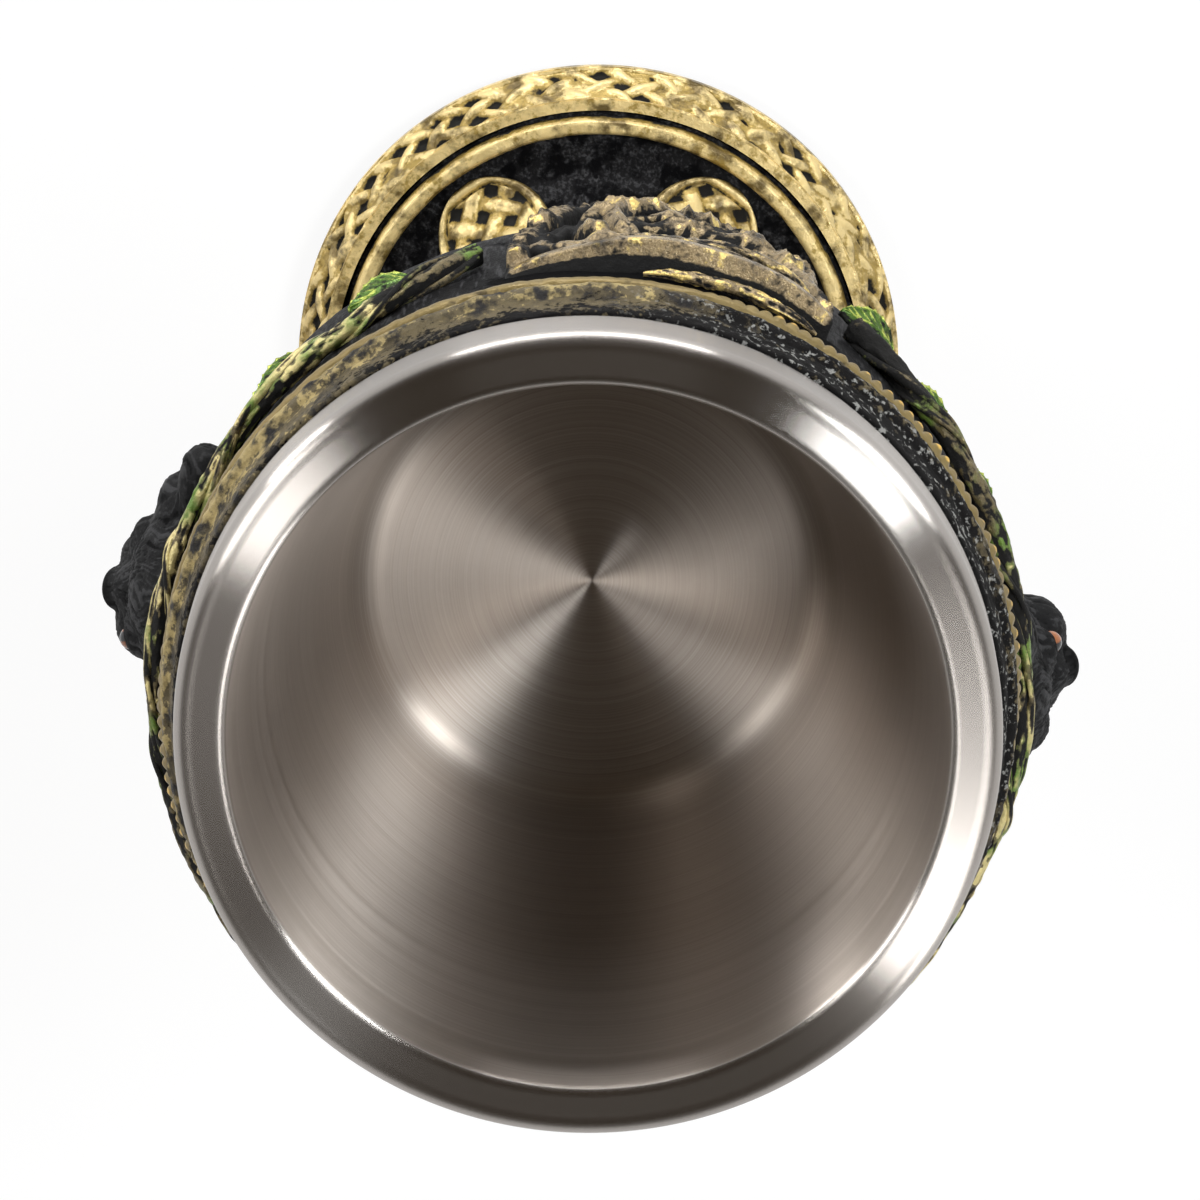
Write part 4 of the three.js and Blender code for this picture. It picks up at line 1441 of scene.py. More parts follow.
        def worn(azimuth: Array, along: Array, points: Array) -> tuple[Array, Array]:
            """Pits and rubs the band."""
            pits = noise(points, 1.6, 18) * 0.5 + noise(points, 0.6, 19) * 0.5
            broad = noise(points, 9.0, 20)
            height = smooth(points[..., 2], bottom + 0.2, crown)
            shown = np.hypot(points[..., 0], points[..., 1]) > bore + 0.5
            form = 0.95 - 0.62 * height + 0.9 * (pits - 0.5) + 0.7 * (broad - 0.5)
            return np.where(shown, 0.55 * (pits - 0.55) + 0.3 * (broad - 0.6), 0.0), form

        solid = turned(line.array(), 720, ring=True, shape=worn)
        dress(solid.piece("cast_rim_band", 65), BAND, ["rim_band"])

    def build_beads(self) -> None:
        """Builds the beaded line under the band."""
        low, high = corners("rim_bead_ring")
        bore = self.rim_radius + self.gap
        outer = high[0]
        bottom, top = low[2], high[2]
        middle = (bottom + top) / 2
        half = (top - bottom) / 2
        line = Profile(bore, bottom).line(outer - 1.0, bottom, 3)
        line.curve((outer, bottom), (outer, middle), steps=8)
        line.curve((outer, top), (outer - 1.0, top), steps=8)
        line.line(bore, top, 3).line(bore, bottom + 0.3, 2)

        def beaded(azimuth: Array, along: Array, points: Array) -> tuple[Array, Array]:
            """Raises a row of small beads, most of them rubbed flat."""
            facing = np.abs(np.cos(azimuth - math.radians(self.bead_turn)))
            kept = smooth(facing, 0.72, 0.93) * (0.6 + 0.4 * smooth(noise(points, 3.0, 21), 0.25, 0.5))
            bead = np.abs(np.cos(azimuth * self.beads / 2)) ** 0.8 * (0.08 + 0.92 * kept)
            low_edge = np.exp(-(((points[..., 2] - middle + 0.35 * half) / (0.6 * half)) ** 2))
            face = smooth(np.hypot(points[..., 0], points[..., 1]), outer - 1.6, outer - 0.4)
            worn = noise(points, 1.1, 22) * 0.6 + noise(points, 4.0, 42) * 0.4
            raised = face * (0.5 * bead * low_edge - 0.3 + 0.3 * (worn - 0.5))
            return raised, 0.4 + 0.65 * bead * low_edge + 0.55 * (worn - 0.5)

        solid = turned(line.array(), self.beads * 12, ring=True, shape=beaded)
        dress(solid.piece("cast_rim_beads", 70), OCHRE, ["rim_bead_ring"])

    def build(self) -> None:
        """Builds the casing's pieces."""
        self.build_bowl()
        self.build_band()
        self.build_beads()


@dataclass
class KnotPanels:
    """The two shield-shaped panels of woven strands, front and back.

    Attributes:
        casing: The bowl that they lie on.
        turn: The azimuth of the front panel's middle, in degrees.
        drop: How far under the bead ring its top lies.
        half_width: Half its width at the top.
        length: Its length down the bowl.
        pointedness: How full its sides are.
        strand: Half a strand's width.
        plate: How far the ground between the strands stands out.
        height: How far a strand stands over the ground.
        weave: How much higher a strand is where it passes over.
        ledge: How far the smooth ledge along the top stands out.
        ledge_width: The ledge's width.
        knot_scale: The size of the three-looped knot.
        knot_drop: How far its middle lies under the panel's top.
        ring_radius: The radius of the ring that is woven through it.
        ribbons: For each ragged ribbon, how far under the top it runs, its stand, its begin and its end.
        ribbon_radius: Half a ribbon's thickness.
    """

    casing: Casing
    turn: float = -6.6
    drop: float = 4.0
    half_width: float = 17.0
    length: float = 42.0
    pointedness: float = 2.2
    strand: float = 1.4
    plate: float = 0.2
    height: float = 2.3
    weave: float = 0.9
    ledge: float = 3.7
    ledge_width: float = 2.2
    knot_scale: float = 5.0
    knot_drop: float = 13.0
    ring_radius: float = 9.0
    ribbons: tuple[tuple[float, float, float, float], ...] = (
        (-1.4, 0.9, -15.5, 3.0),
        (3.4, 2.9, -16.0, 13.0),
        (6.0, 3.1, -15.5, 2.0),
    )
    ribbon_radius: float = 0.75

    def outline(self, share: Array) -> Array:
        """Gives half the panel's width at a share of its length."""
        return np.maximum(self.half_width * (1 - share**self.pointedness), self.strand)

    def strands(self) -> list[tuple[Array, Array, float]]:
        """Lists the strands as lines on the panel.

        Returns:
            For each, its points (across, drop), its weave from -1 to 1 at each point, and its half width.
        """
        found = []
        step = np.linspace(0, 1, 70)
        arcs = 6
        for arc in range(arcs):
            t = (arc - 0.06 + 1.12 * step) * TURN / arcs
            across = self.knot_scale * (np.sin(t) + 2 * np.sin(2 * t))
            drop = self.knot_drop - self.knot_scale * (np.cos(t) - 2 * np.cos(2 * t))
            found.append((np.stack([across, drop], -1), -np.sin(3 * t), self.strand))
        for arc in range(arcs):
            t = (arc - 0.05 + 1.1 * step) * TURN / arcs
            line = np.stack([self.ring_radius * np.sin(t), self.knot_drop + self.ring_radius * np.cos(t)], -1)
            found.append((line, np.cos(6 * t), 0.8 * self.strand))
        start = 0.04
        share = start + (1 - 2 * start) * step
        for side in (-1, 1):
            across = side * (self.outline(share) - self.strand)
            line = np.stack([across, share * self.length], -1)
            found.append((line, 0.3 * np.sin(18 * share), self.strand))
        tail = 0.62 + 0.33 * step
        for side in (-1, 1):
            swing = 0.55 * self.outline(tail) * np.cos(9 * (tail - 0.62) * math.pi)
            line = np.stack([side * swing, tail * self.length], -1)
            found.append((line, side * np.sin(9 * (tail - 0.62) * math.pi), 0.8 * self.strand))
        return found

    def solid(self) -> Solid:
        """Gives the front panel, with painted highlights on its strands and painted shade along its ledge."""
        columns = 170
        ledge_top = 0.01
        come = np.linspace(0, 1, 14)
        face = [np.linspace(ledge_top, 0.08, 36)[1:-1], np.linspace(0.08, 1, 175)]
        share = np.concatenate([ledge_top * come**1.5, *face])[:, None]
        out = np.concatenate([come, np.ones(len(share) - len(come))])[:, None]
        half = self.outline(share)
        across = np.linspace(-1, 1, columns)[None, :] * half
        drop = np.broadcast_to(share * self.length, across.shape)
        spot = np.stack([across, drop, 0 * across], -1)
        warp = 0.5 * (noise(spot, 3.6, 23) - 0.5), 0.5 * (noise(spot, 3.6, 24) - 0.5)
        chips = noise(spot, 1.6, 25) * 0.55 + noise(spot, 0.6, 26) * 0.45
        crumple = 1 - 2 * np.abs(noise(spot, 2.4, 60) - 0.5)
        form = np.zeros(across.shape)
        crest = np.zeros(across.shape)
        for line, weave, half_strand in self.strands():
            distance, place = near_line(across + warp[0], drop + warp[1], line)
            over = np.interp(place, np.linspace(0, 1, len(weave)), weave)
            arch = np.clip(1 - (distance / half_strand) ** 2, 0, 1)
            groove = 0.2 * np.exp(-((distance / 0.28) ** 2))
            top = (self.height + self.weave * over) * arch**0.3 - groove * (arch > 0)
            form = np.maximum(form, top)
            crest = np.maximum(crest, (arch > 0) * (0.6 + 0.25 * over) * arch**0.35)
        form = self.plate + form * (0.62 + 0.5 * crumple) + 0.6 * (chips - 0.5)
        side = np.clip(across / self.half_width, -1, 1)
        ends = 1 - np.where(side > 0, 0.9 * np.abs(side) ** 1.7, 0.5 * side**4)
        inset = np.clip(1 - drop / (0.4 * self.ledge_width), 0, 1)
        ribbon = self.ledge * ends - 0.7 * (1 - np.sqrt(1 - inset**2)) + 0.2 * (noise(spot, 5.0, 43) - 0.5)
        on_ledge = 1 - smooth(drop, 0.85 * self.ledge_width, 1.15 * self.ledge_width)
        edge = np.minimum(half - np.abs(across), self.length - drop + 0.3)
        raised = (on_ledge * ribbon + (1 - on_ledge) * form) * smooth(edge, 0.0, 0.5) * out
        # Painted highlight: strand faces that slope up towards the rim, and so towards the lamps, get the gold
        # crest colour as glints.
        rising = np.gradient(raised, axis=0) / np.gradient(drop, axis=0)
        painted_glints = 0.5 * smooth(rising, 0.4, 1.5) * smooth(chips, 0.48, 0.62) * (1 - on_ledge)
        relief = np.clip(crest * (0.7 + 0.6 * chips) + painted_glints, 0, 1.2) * (1 - on_ledge)
        lip = 0.3 * np.exp(-(((drop - 0.7) / 0.35) ** 2)) * smooth(chips, 0.45, 0.6)
        # Painted shade: the ledge's bronze goes black across its top side towards the wall, as the shadowed
        # slot under the bead ring; it is also darker towards the panel's edges.
        ledge_paint_with_painted_shade = (0.76 + 0.35 * (chips - 0.5) + lip) * smooth(out, 0.42, 0.62)
        relief = relief + on_ledge * ledge_paint_with_painted_shade * (0.5 + 0.5 * smooth(edge, 0.2, 1.5))
        height = self.casing.ledge - self.drop - drop
        azimuth = math.radians(self.turn)
        sunk = np.full(across.shape, -0.7)
        outer = self.casing.on_wall(azimuth, across, height, raised)
        return slab(outer, self.casing.on_wall(azimuth, across, height, sunk), relief)

    def ribbon(self, lower: float, stand: float, begin: float, end: float, seed: int) -> Solid:
        """Gives a ragged ribbon that runs along the panel near its top.

        Args:
            lower: How far under the panel's top it runs.
            stand: How far it stands out in its middle.
            begin: Where it begins, across the panel.
            end: Where it ends.
            seed: The seed of its raggedness.

        Returns:
            The ribbon.
        """
        share = np.linspace(0, 1, 160)
        across = begin + (end - begin) * share
        azimuth = math.radians(self.turn) + across / self.casing.ledge_radius
        along = np.stack([across, 0 * across, 0 * across], -1)
        waver = noise(along, 3.2, seed) - 0.5
        taper = np.sqrt(np.sin(math.pi * (0.03 + 0.94 * share)))
        height = self.casing.ledge - self.drop - lower + 1.4 * waver
        path = self.casing.on_wall(azimuth, 0.0, height, stand * taper + 0.5 * waver)
        count = 20
        angle = np.arange(count)[None, :] * TURN / count
        run = across[:, None]
        marks = np.stack([np.cos(angle) + 0 * run, np.sin(angle) + 0 * run, 0.45 * run + 0 * angle], -1)
        ragged = 0.6 * noise(marks, 0.6, seed + 1) + 0.4 * noise(marks, 0.25, seed + 2)
        radii = self.ribbon_radius * taper[:, None] * (0.6 + 0.7 * ragged)
        return tube(path, polar(1.0, azimuth, 0.0), radii, 0.45 + 0.75 * smooth(ragged, 0.3, 0.75))

    def build(self) -> None:
        """Builds both panels."""
        front = self.solid()
        for number, (lower, stand, begin, end) in enumerate(self.ribbons):
            front = front.joined(self.ribbon(lower, stand, begin, end, 50 + 3 * number))
        for side in (0, 1):
            piece = front.spun(side * math.pi).piece(f"cast_knot_panel_{side + 1}", 60)
            dress(piece, BRONZE, [f"knot_panel_{side + 1}"])


@dataclass
class Vines:
    """The branches that run from panel to panel over the bear heads, with their leaves.

    Attributes:
        panels: The panels that they run between.
        radius: A branch's radius in the middle.
        tip_radius: Its radius at the ends.
        drop: How far under the ledge it runs in the middle.
        sag: How much lower its ends are.
        margin: The room between a branch and a panel.
        leaf_azimuths: The azimuth of each leaf on the first side, in degrees.
        leaf_stands: How far each leaf's lower edge stands out.
        leaf_length: The length of a leaf.
        leaf_half_width: Half its width.
        leaf_tilt: How far it is tipped, in degrees.
        leaf_fold: How far its midrib stands out.
        gap: The fit between pieces.
    """

    panels: KnotPanels
    radius: float = 1.0
    tip_radius: float = 1.3
    drop: float = 3.4
    sag: float = 9.0
    margin: float = 2.5
    leaf_azimuths: tuple[float, ...] = (33.0, 50.0, 106.0, 120.0, 133.0, 145.0)
    leaf_stands: tuple[float, ...] = (1.5, 1.0, 0.5, 0.7, 1.0, 2.0)
    leaf_length: float = 7.6
    leaf_half_width: float = 2.5
    leaf_tilt: float = 20.0
    leaf_fold: float = 0.9
    gap: float = 0.3

    def __post_init__(self) -> None:
        """Works out where the first branch starts and how far round it runs."""
        self.casing = self.panels.casing
        margin = (self.panels.half_width + self.margin) / self.casing.ledge_radius
        self.start = math.radians(self.panels.turn) + margin
        self.span = math.pi - 2 * margin

    def height(self, share: Array) -> Array:
        """Gives the branch's height at a share of its run."""
        return self.casing.ledge - self.drop - self.sag * (2 * share - 1) ** 4

    def branch(self) -> Solid:
        """Gives the first branch with its furrowed bark, and the two tendrils that wind along it."""
        share = np.linspace(0, 1, 460)
        taper = (2 * share - 1) ** 2
        radius = self.radius + (self.tip_radius - self.radius) * taper
        azimuth = self.start + share * self.span
        outward = polar(1.0, azimuth, 0.0)
        path = self.casing.on_wall(azimuth, 0.0, self.height(share), radius)
        count = 30
        angle = np.arange(count)[None, :] * TURN / count
        run = share[:, None] * self.span * self.casing.ledge_radius
        twist = angle + 0.1 * run
        marks = np.stack([1.4 * np.cos(twist), 1.4 * np.sin(twist), 0.2 * run + 0 * twist], -1)
        bark = noise(marks, 0.8, 27) * 0.55 + noise(marks * [1, 1, 2.5], 0.4, 28) * 0.45
        knuckle = noise(np.stack([run, 0 * run, 0 * run], -1), 4.0, 29)
        radii = radius[:, None] * (0.6 + 0.55 * bark + 0.4 * (knuckle - 0.4))
        gilt = (1 - 0.4 * smooth(share, 0.52, 0.7)) * (0.55 + 0.45 * smooth(1 - taper, 0.1, 0.6))
        gilt = gilt[:, None]
        solid = tube(path, outward, radii, gilt * smooth(bark, 0.3, 0.7))
        for start, turns, thickness in ((0.4, 21.0, 0.44), (3.2, 33.0, 0.36)):
            stray = noise(np.stack([run[:, 0], 0 * share, 0 * share], -1), 9.0, 44)
            wind = start + turns * share + 1.5 * stray
            thin = self.casing.on_wall(
                azimuth, 0.0,
                self.height(share) + 1.15 * radius * np.sin(wind),
                radius * (1 + 0.95 * np.cos(wind)),
            )
            grain = noise(marks[:, :10], 0.6, 30)
            thread = gilt * smooth(grain, 0.2, 0.65)
            solid = solid.joined(tube(thin, outward, thickness * (0.6 + 0.8 * grain), thread))
        return solid

    def leaf(self, azimuth: float, index: int) -> Solid:
        """Gives a leaf with a serrated edge, veins and a curled tip.

        Args:
            azimuth: Where it hangs, in radians.
            index: Its number, which picks its curl.

        Returns:
            The leaf.
        """
        share = (azimuth - self.start) / self.span
        tilt = math.radians(self.leaf_tilt)
        reach = self.leaf_half_width * math.cos(tilt) + self.leaf_length / 2 * math.sin(tilt)
        centre = self.height(share) - self.radius - self.gap - reach
        along = np.linspace(0, 1, 64)[:, None]
        across = np.linspace(-1, 1, 41)[None, :]
        swell = np.sin(math.pi * along**0.8)
        teeth = 1 + 0.14 * (np.abs((along * 9) % 1 - 0.35) - 0.3)
        blade = np.maximum(self.leaf_half_width * swell * teeth, 0.16)
        width = np.abs(across)
        lower = (1 - across) / 2
        stand = self.leaf_stands[index] * lower**1.2 * np.sqrt(np.maximum(swell, 0))
        fold = 0.6 * self.leaf_fold * np.sin(math.pi * along) * (1 - width)
        curl = 0.5 * width**2 * swell * (1.0 + 0.3 * math.sin(2.4 * index))
        tip = 0.8 * smooth(along, 0.6, 1.0) ** 2
        vein_run = (along * 7 - 1.6 * width) % 1
        veins = np.exp(-(((vein_run - 0.5) / 0.13) ** 2)) * smooth(width, 0.05, 0.2)
        rib = np.exp(-((width / 0.09) ** 2))
        raised = 0.65 + stand + fold + curl + tip + 0.18 * veins + 0.24 * rib
        x = self.leaf_length * (along - 0.5) + 0 * across
        y = across * blade
        shift = x * math.cos(tilt) - y * math.sin(tilt)
        height = centre + x * math.sin(tilt) + y * math.cos(tilt)
        outer = self.casing.on_wall(azimuth, shift, height, raised)
        inner = self.casing.on_wall(azimuth, shift, height, raised - 0.42)
        spot = np.stack([x, y, 0 * x + index], -1)
        relief = 0.44 + 0.32 * np.maximum(veins, rib) + 0.4 * smooth(width, 0.8, 1.0)
        # Painted shade: the relief, and so the paint, goes dark towards the leaf's upper edge, where the
        # hollow behind the curled leaf lies in shadow.
        relief = (relief + 0.5 * (noise(spot, 1.1, 32) - 0.5)) * (0.45 + 0.55 * smooth(lower, 0.08, 0.3))
        return slab(outer, inner, relief)

    def build(self) -> None:
        """Builds both branches and all leaves."""
        branch = self.branch()
        for side in (0, 1):
            piece = branch.spun(side * math.pi).piece(f"cast_vine_{side + 1}")
            dress(piece, BARK, [f"vine_{side + 1}"])
            for index, azimuth in enumerate(self.leaf_azimuths):
                number = side * len(self.leaf_azimuths) + index + 1
                leaf = self.leaf(math.radians(azimuth), index).spun(side * math.pi)
                dress(leaf.piece(f"cast_leaf_{number}"), GREEN, [f"leaf_{number}"])


Lump = tuple[tuple[float, float, float], tuple[float, float, float]]


@dataclass
class BearHeads:
    """The two bear heads, half a turn apart, with fur carved into them and painted eyes.

    Lumps and hollows are ellipsoids, each given by its centre and its half sizes forward, left and up, as
    shares of the head's half width.

    Attributes:
        casing: The bowl that they stand out of.
        half_width: Half a head's width.
        drop: How far under the ledge a head's middle lies.
        sink: How far its middle lies inside the wall.
        roll: How far it is tipped to one side, in degrees.
        nod: How far it looks down, in degrees.
        yaw: How far it looks to its left, in degrees.
        turn: How far round the bowl it stands from the side, in degrees.
        softness: How sharply the lumps end.
        lumps: The skull, forehead, muzzle, bridge, nose, jaw, left ear and right ear.
        paired_lumps: The brow, the cheek, the temple and the whisker pad.
        hollows: The mouth and the two ears' hollows.
        paired_hollows: The eye socket and the nostril.
        eyes_at: The directions in which the eyes lie.
        eye_radius: Their radius.
    """

    casing: Casing
    half_width: float = 13.0
    drop: float = 24.0
    sink: float = 4.9
    roll: float = 20.0
    nod: float = 17.0
    yaw: float = 9.0
    turn: float = -3.0
    softness: float = 2.6
    lumps: tuple[Lump, ...] = (
        ((0.0, 0.0, 0.0), (0.65, 0.92, 0.81)),
        ((0.35, 0.0, 0.16), (0.35, 0.54, 0.38)),
        ((0.58, 0.0, -0.28), (0.43, 0.47, 0.35)),
        ((0.65, 0.0, -0.04), (0.32, 0.2, 0.17)),
        ((1.0, 0.0, -0.12), (0.09, 0.15, 0.11)),
        ((0.64, 0.0, -0.58), (0.31, 0.28, 0.15)),
        ((0.18, 0.82, 0.56), (0.2, 0.29, 0.29)),
        ((0.05, -0.84, 0.56), (0.2, 0.28, 0.28)),
    )
    paired_lumps: tuple[Lump, ...] = (
        ((0.62, 0.36, 0.16), (0.15, 0.2, 0.11)),
        ((0.22, 0.47, -0.32), (0.37, 0.32, 0.42)),
        ((0.22, 0.68, 0.3), (0.26, 0.26, 0.3)),
        ((0.72, 0.3, -0.3), (0.26, 0.24, 0.24)),
    )
    hollows: tuple[Lump, ...] = (
        ((0.99, 0.0, -0.46), (0.14, 0.34, 0.03)),
        ((0.4, 0.84, 0.58), (0.1, 0.13, 0.14)),
        ((0.27, -0.86, 0.58), (0.1, 0.13, 0.14)),
    )
    paired_hollows: tuple[Lump, ...] = (
        ((0.86, 0.44, 0.1), (0.1, 0.14, 0.06)),
        ((1.11, 0.08, -0.15), (0.06, 0.035, 0.035)),
    )
    eyes_at: tuple[tuple[float, float, float], ...] = ((0.72, 0.42, 0.12), (0.72, -0.42, 0.06))
    eye_radius: float = 0.095

    def fill(self, points: Array) -> Array:
        """Gives how full of clay each point is; the surface is where this is 1."""
        def mirrored(lumps: Sequence[Lump]) -> list[Lump]:
            """Gives both sides of paired lumps."""
            return [((x, side * y, z), size) for (x, y, z), size in lumps for side in (1, -1)]

        total = np.zeros(len(points))
        for sign, forms in (
            (1.0, [*self.lumps, *mirrored(self.paired_lumps)]),
            (-0.9, [*self.hollows, *mirrored(self.paired_hollows)]),
        ):
            for centre, size in forms:
                reach = (((points - centre) / np.array(size)) ** 2).sum(1)
                total += sign * np.exp(np.minimum(-self.softness * (reach - 1), 9.0))
        return total

    def surface(self, directions: Array) -> Array:
        """Gives the distance from the middle to the surface in each direction."""
        reach, steps = 1.6, 80
        found = np.full(len(directions), reach / steps)
        open_yet = np.ones(len(directions), bool)
        for far in np.linspace(reach, reach / steps, steps):
            inside = self.fill(directions * far) >= 1
            found = np.where(open_yet & inside, far, found)
            open_yet &= ~inside
        low, high = found, found + reach / steps
        for _ in range(9):
            middle = (low + high) / 2
            inside = self.fill(directions * middle[:, None]) >= 1
            low, high = np.where(inside, middle, low), np.where(inside, high, middle)
        return low

    def placed(self, points: Array) -> Array:
        """Brings points from the head's own frame, in half widths, to the first head's place."""
        def turned_by(angle: float, axis: str) -> Array:
            """Gives a turn about an axis by an angle in degrees."""
            return np.array(Matrix.Rotation(math.radians(angle), 3, axis))

        posture = turned_by(self.yaw, "Z") @ turned_by(self.nod, "Y") @ turned_by(self.roll, "X")
        height = self.casing.ledge - self.drop
        middle = np.array([self.casing.radius_at(height) - self.sink, 0.0, height])
        return (points @ posture.T * self.half_width + middle) @ turned_by(self.turn, "Z").T

    def furred(self, points: Array) -> tuple[Array, Array]:
        """Carves fur that runs back from the nose.

        Args:
            points: The bare surface in the head's own frame.

        Returns:
            How far each point is raised, in half widths, and its relief.
        """
        x, y, z = points.T
        warp = noise(points * self.half_width, 4.0, 33) - 0.5
        angle = np.arctan2(y, z - 0.05 * x) + 0.5 * warp
        back = np.arctan2(np.hypot(y, z), x + 0.35)
        strands = np.stack([24 * np.cos(angle), 24 * np.sin(angle), 9.0 * back + 4 * warp], -1)
        fine = np.stack([50 * np.cos(angle), 50 * np.sin(angle), 18.0 * back + 6 * warp], -1)
        tufts = noise(points * self.half_width, 0.7, 61)
        coat = 0.4 * noise(strands, 1.0, 34) + 0.35 * noise(fine, 1.0, 35) + 0.25 * tufts
        nose = np.linalg.norm((points - (1.05, 0.0, -0.13)) / (0.16, 0.2, 0.15), axis=1)
        shown = smooth(nose, 0.8, 1.25)
        for eye in self.eye_centres():
            away = np.linalg.norm(points - eye, axis=1)
            shown = shown * smooth(away, self.eye_radius, 1.5 * self.eye_radius)
        return 0.05 * (coat - 0.5) * shown, 0.25 + 0.55 * smooth(coat, 0.3, 0.7) * shown

    def eye_centres(self) -> Array:
        """Gives the middles of the two eyes, a little under the surface."""
        towards = np.array(self.eyes_at)
        towards /= np.linalg.norm(towards, axis=1, keepdims=True)
        return towards * (self.surface(towards) - 0.3 * self.eye_radius)[:, None]

    def head(self) -> Solid:
        """Gives the first head."""
        form = bmesh.new()
        bmesh.ops.create_icosphere(form, subdivisions=7, radius=1.0)
        directions = np.array([v.co for v in form.verts])
        faces = np.array([[v.index for v in face.verts] for face in form.faces])
        form.free()
        directions /= np.linalg.norm(directions, axis=1, keepdims=True)
        points = directions * self.surface(directions)[:, None]
        raised, relief = self.furred(points)
        points = self.placed(points + directions * raised[:, None])
        radius = np.hypot(points[:, 0], points[:, 1])
        floor = self.casing.radius_at(points[:, 2]) - 0.6
        points[:, :2] *= np.maximum(1.0, floor / np.maximum(radius, 1e-6))[:, None]
        return Solid(points, np.zeros((0, 4), int), faces, relief).faced_out()

    def eyes(self) -> Solid:
        """Gives the first head's two eyes, their relief low along the slit."""
        polar_angle = np.linspace(0, math.pi, 18)
        ball = np.stack([np.sin(polar_angle), -np.cos(polar_angle)], -1)
        ball[[0, -1], 0] = 0
        sphere = turned(ball, 32)
        slit = np.abs(sphere.points[:, 1])
        both = None
        for centre in self.eye_centres():
            points = self.placed(sphere.points * self.eye_radius + centre)
            one = Solid(points, sphere.quads, sphere.triangles, slit)
            both = one if both is None else both.joined(one)
        return both

    def build(self) -> None:
        """Builds both heads and their eyes."""
        head, eyes = self.head(), self.eyes()
        for side in (0, 1):
            turn = side * math.pi
            dress(head.spun(turn).piece(f"cast_bear_head_{side + 1}"), FUR, [f"bear_head_{side + 1}"])
            dress(eyes.spun(turn).piece(f"bear_eyes_{side + 1}"), EYE, [])


# Studio

@dataclass(frozen=True)
class Softbox:
    """A soft lamp that faces the goblet.

    Attributes:
        name: Its name.
        towards: The direction from the goblet to it.
        distance: How far off it is, in metres.
        size: Its width and height in metres.
        power: Its power in watts.
        colour: The colour of its light.
    """

    name: str
    towards: Colour
    distance: float
    size: tuple[float, float]
    power: float
    colour: Colour = (1.0, 1.0, 1.0)

    def build(self, aim: Vector) -> None:
        """Builds the lamp."""
        data = bpy.data.lights.new(self.name, "AREA")
        data.shape = "RECTANGLE"
        data.size, data.size_y = self.size
        data.energy = self.power
        data.color = self.colour
        lamp = bpy.data.objects.new(self.name, data)
        lamp.location = aim + Vector(self.towards).normalized() * self.distance
        lamp.rotation_euler = (lamp.location - aim).to_track_quat("Z", "Y").to_euler()
        lamp.visible_camera = False
        bpy.context.scene.collection.objects.link(lamp)


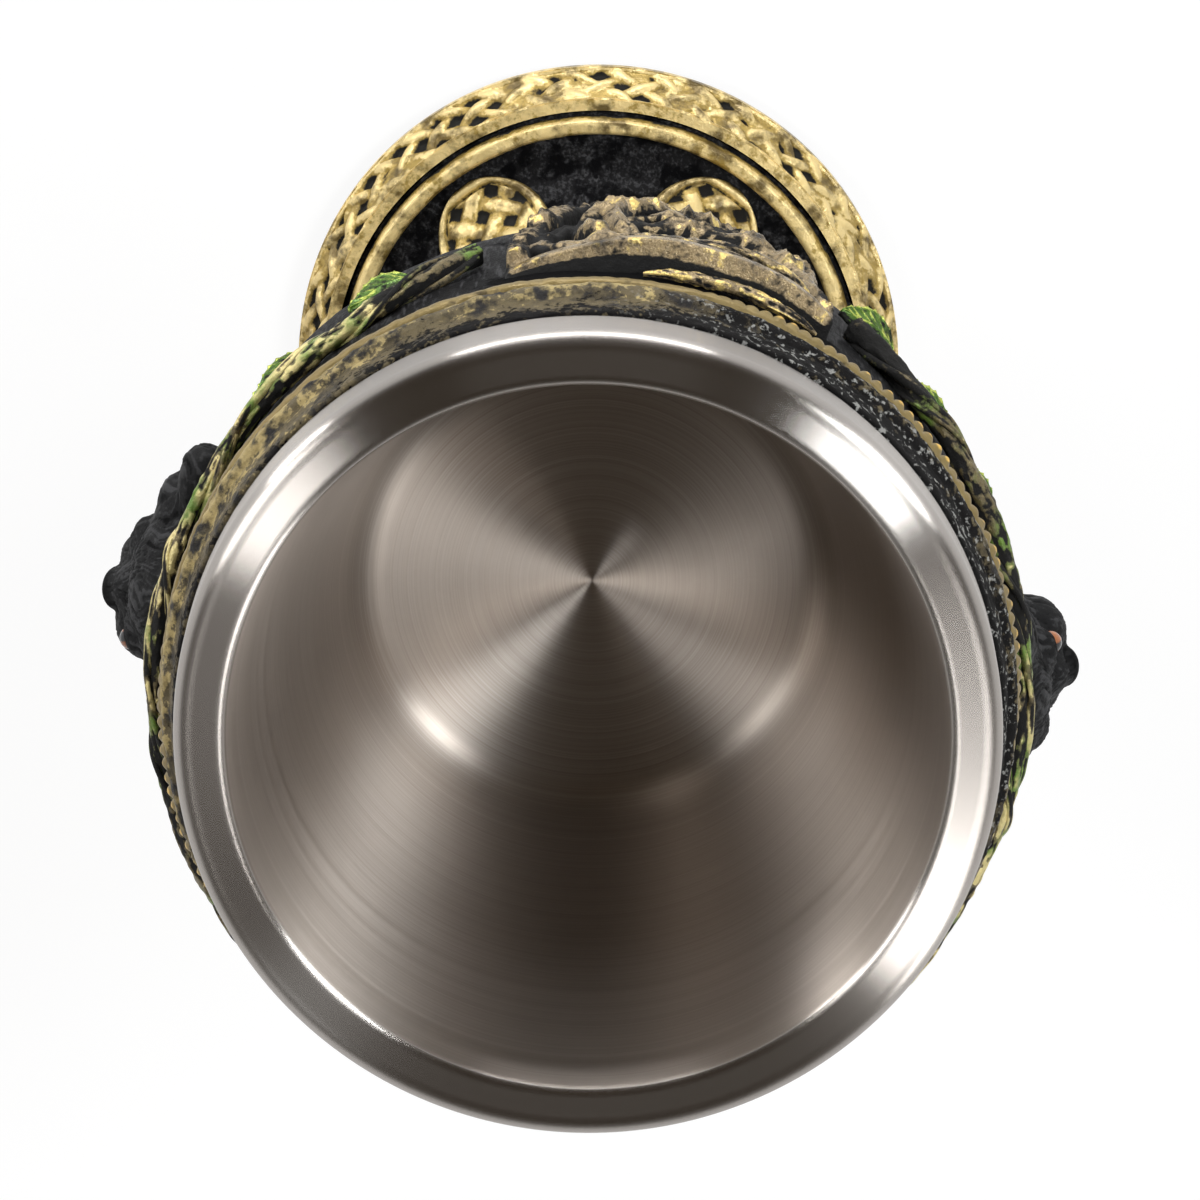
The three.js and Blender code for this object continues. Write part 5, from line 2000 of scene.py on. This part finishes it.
@dataclass
class Studio:
    """The camera, the pale sweep that the goblet stands on and the soft lamps.

    Attributes:
        eye: The camera's place in millimetres.
        right: The direction that runs to the right in the picture.
        down: The direction that runs down in the picture.
        ahead: The direction that the camera looks in.
        lens: The lens in millimetres on a sensor 36 mm wide.
        sweep_radius: The radius of the floor in metres.
        sweep_height: The height of the sweep's edge in metres.
        world: The colour of the room.
    """

    eye: tuple[float, float, float] = (10.5, -199.7, 961.0)
    right: tuple[float, float, float] = (-0.9968, -0.0797, -0.0055)
    down: tuple[float, float, float] = (-0.0788, 0.9692, 0.2334)
    ahead: tuple[float, float, float] = (-0.0133, 0.2331, -0.9724)
    lens: float = 240.8
    sweep_radius: float = 3.2
    sweep_height: float = 2.0
    world: Colour = (0.05, 0.037, 0.024)
    lamps: tuple[Softbox, ...] = (
        Softbox("lamp key", (-0.5, -0.3, 0.81), 0.95, (0.2, 0.42), 4.9, (0.95, 0.98, 1.0)),
        Softbox("lamp rear right", (-0.36, 0.36, 0.86), 0.95, (0.14, 0.6), 2.0),
        Softbox("lamp left", (0.57, -0.12, 0.81), 0.95, (0.22, 0.4), 2.3),
        Softbox("lamp left low", (0.84, -0.5, 0.2), 0.95, (0.2, 0.3), 2.5),
        Softbox("lamp front low", (0.1, -1.0, 0.03), 1.1, (0.9, 0.2), 8.0),
    )

    def build_camera(self) -> None:
        """Builds the camera."""
        data = bpy.data.cameras.new("camera")
        data.sensor_width = 36.0
        data.lens = self.lens
        camera = bpy.data.objects.new("camera", data)
        right, up, back = Vector(self.right), -Vector(self.down), -Vector(self.ahead)
        turn = Matrix((right, up, back)).transposed().to_4x4()
        camera.matrix_world = Matrix.Translation(Vector(self.eye) * MM) @ turn
        bpy.context.scene.collection.objects.link(camera)
        bpy.context.scene.camera = camera

    def sweep_material(self) -> bpy.types.Material:
        """Makes the sweep's white, which stays white to the camera and keeps a soft shadow."""
        made = bpy.data.materials.new("white sweep")
        made.use_nodes = True
        made.node_tree.nodes.clear()
        graph = Graph(made.node_tree)
        path = graph.add("ShaderNodeLightPath")
        seen = graph.math("MAXIMUM", path.outputs["Is Camera Ray"], path.outputs["Is Glossy Ray"])
        seen = graph.math("MAXIMUM", seen, path.outputs["Is Transmission Ray"])
        glow = graph.add("ShaderNodeEmission", {"Color": (1.0, 1.0, 1.0, 1.0), "Strength": 0.88})
        faint = graph.add("ShaderNodeBsdfDiffuse", {"Color": (0.16, 0.16, 0.16, 1.0)})
        lit = graph.add("ShaderNodeBsdfDiffuse", {"Color": (0.8, 0.8, 0.8, 1.0)})
        white = graph.add("ShaderNodeAddShader", {0: glow.outputs[0], 1: faint.outputs[0]})
        shown = graph.add("ShaderNodeMixShader", {0: seen, 1: lit.outputs[0], 2: white.outputs[0]})
        graph.add("ShaderNodeOutputMaterial", {"Surface": shown.outputs[0]})
        return made

    def build_sweep(self) -> None:
        """Builds the floor, which curves up at its edge."""
        radius, height = self.sweep_radius / MM, self.sweep_height / MM
        bend = 0.3 * height
        line = Profile(0, 0).line(radius - bend, 0, 12)
        line.curve((radius, 0), (radius, bend), steps=16).line(radius, height, 4)
        profile = np.concatenate([line.array(), line.array()[::-1] - [0, 20]])
        sweep = turned(profile, 96).piece("studio_sweep")
        sweep.data.materials.append(self.sweep_material())
        sweep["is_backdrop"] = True

    def build(self) -> None:
        """Builds the studio."""
        self.build_camera()
        self.build_sweep()
        aim = Vector((0.0, 0.0, 0.15))
        for lamp in self.lamps:
            lamp.build(aim)
        world = bpy.data.worlds.new("room")
        world.use_nodes = True
        room = world.node_tree.nodes["Background"]
        room.inputs["Color"].default_value = opaque(self.world)
        bpy.context.scene.world = world
        bpy.context.scene.view_settings.view_transform = "Standard"


def main() -> None:
    """Builds the studio and the goblet."""
    logging.basicConfig(level=logging.INFO, format="%(name)s: %(message)s")
    Studio().build()
    casing = Casing(Liner())
    panels = KnotPanels(casing)
    for assembly in (Foot(), Stem(), casing.liner, casing, panels, Vines(panels), BearHeads(casing)):
        assembly.build()
    boxes = {"cad": CAD_BOX, "visual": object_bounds()}
    {name: [list(corner) for corner in box] for name, box in boxes.items()}


if __name__ == "__main__":
    main()
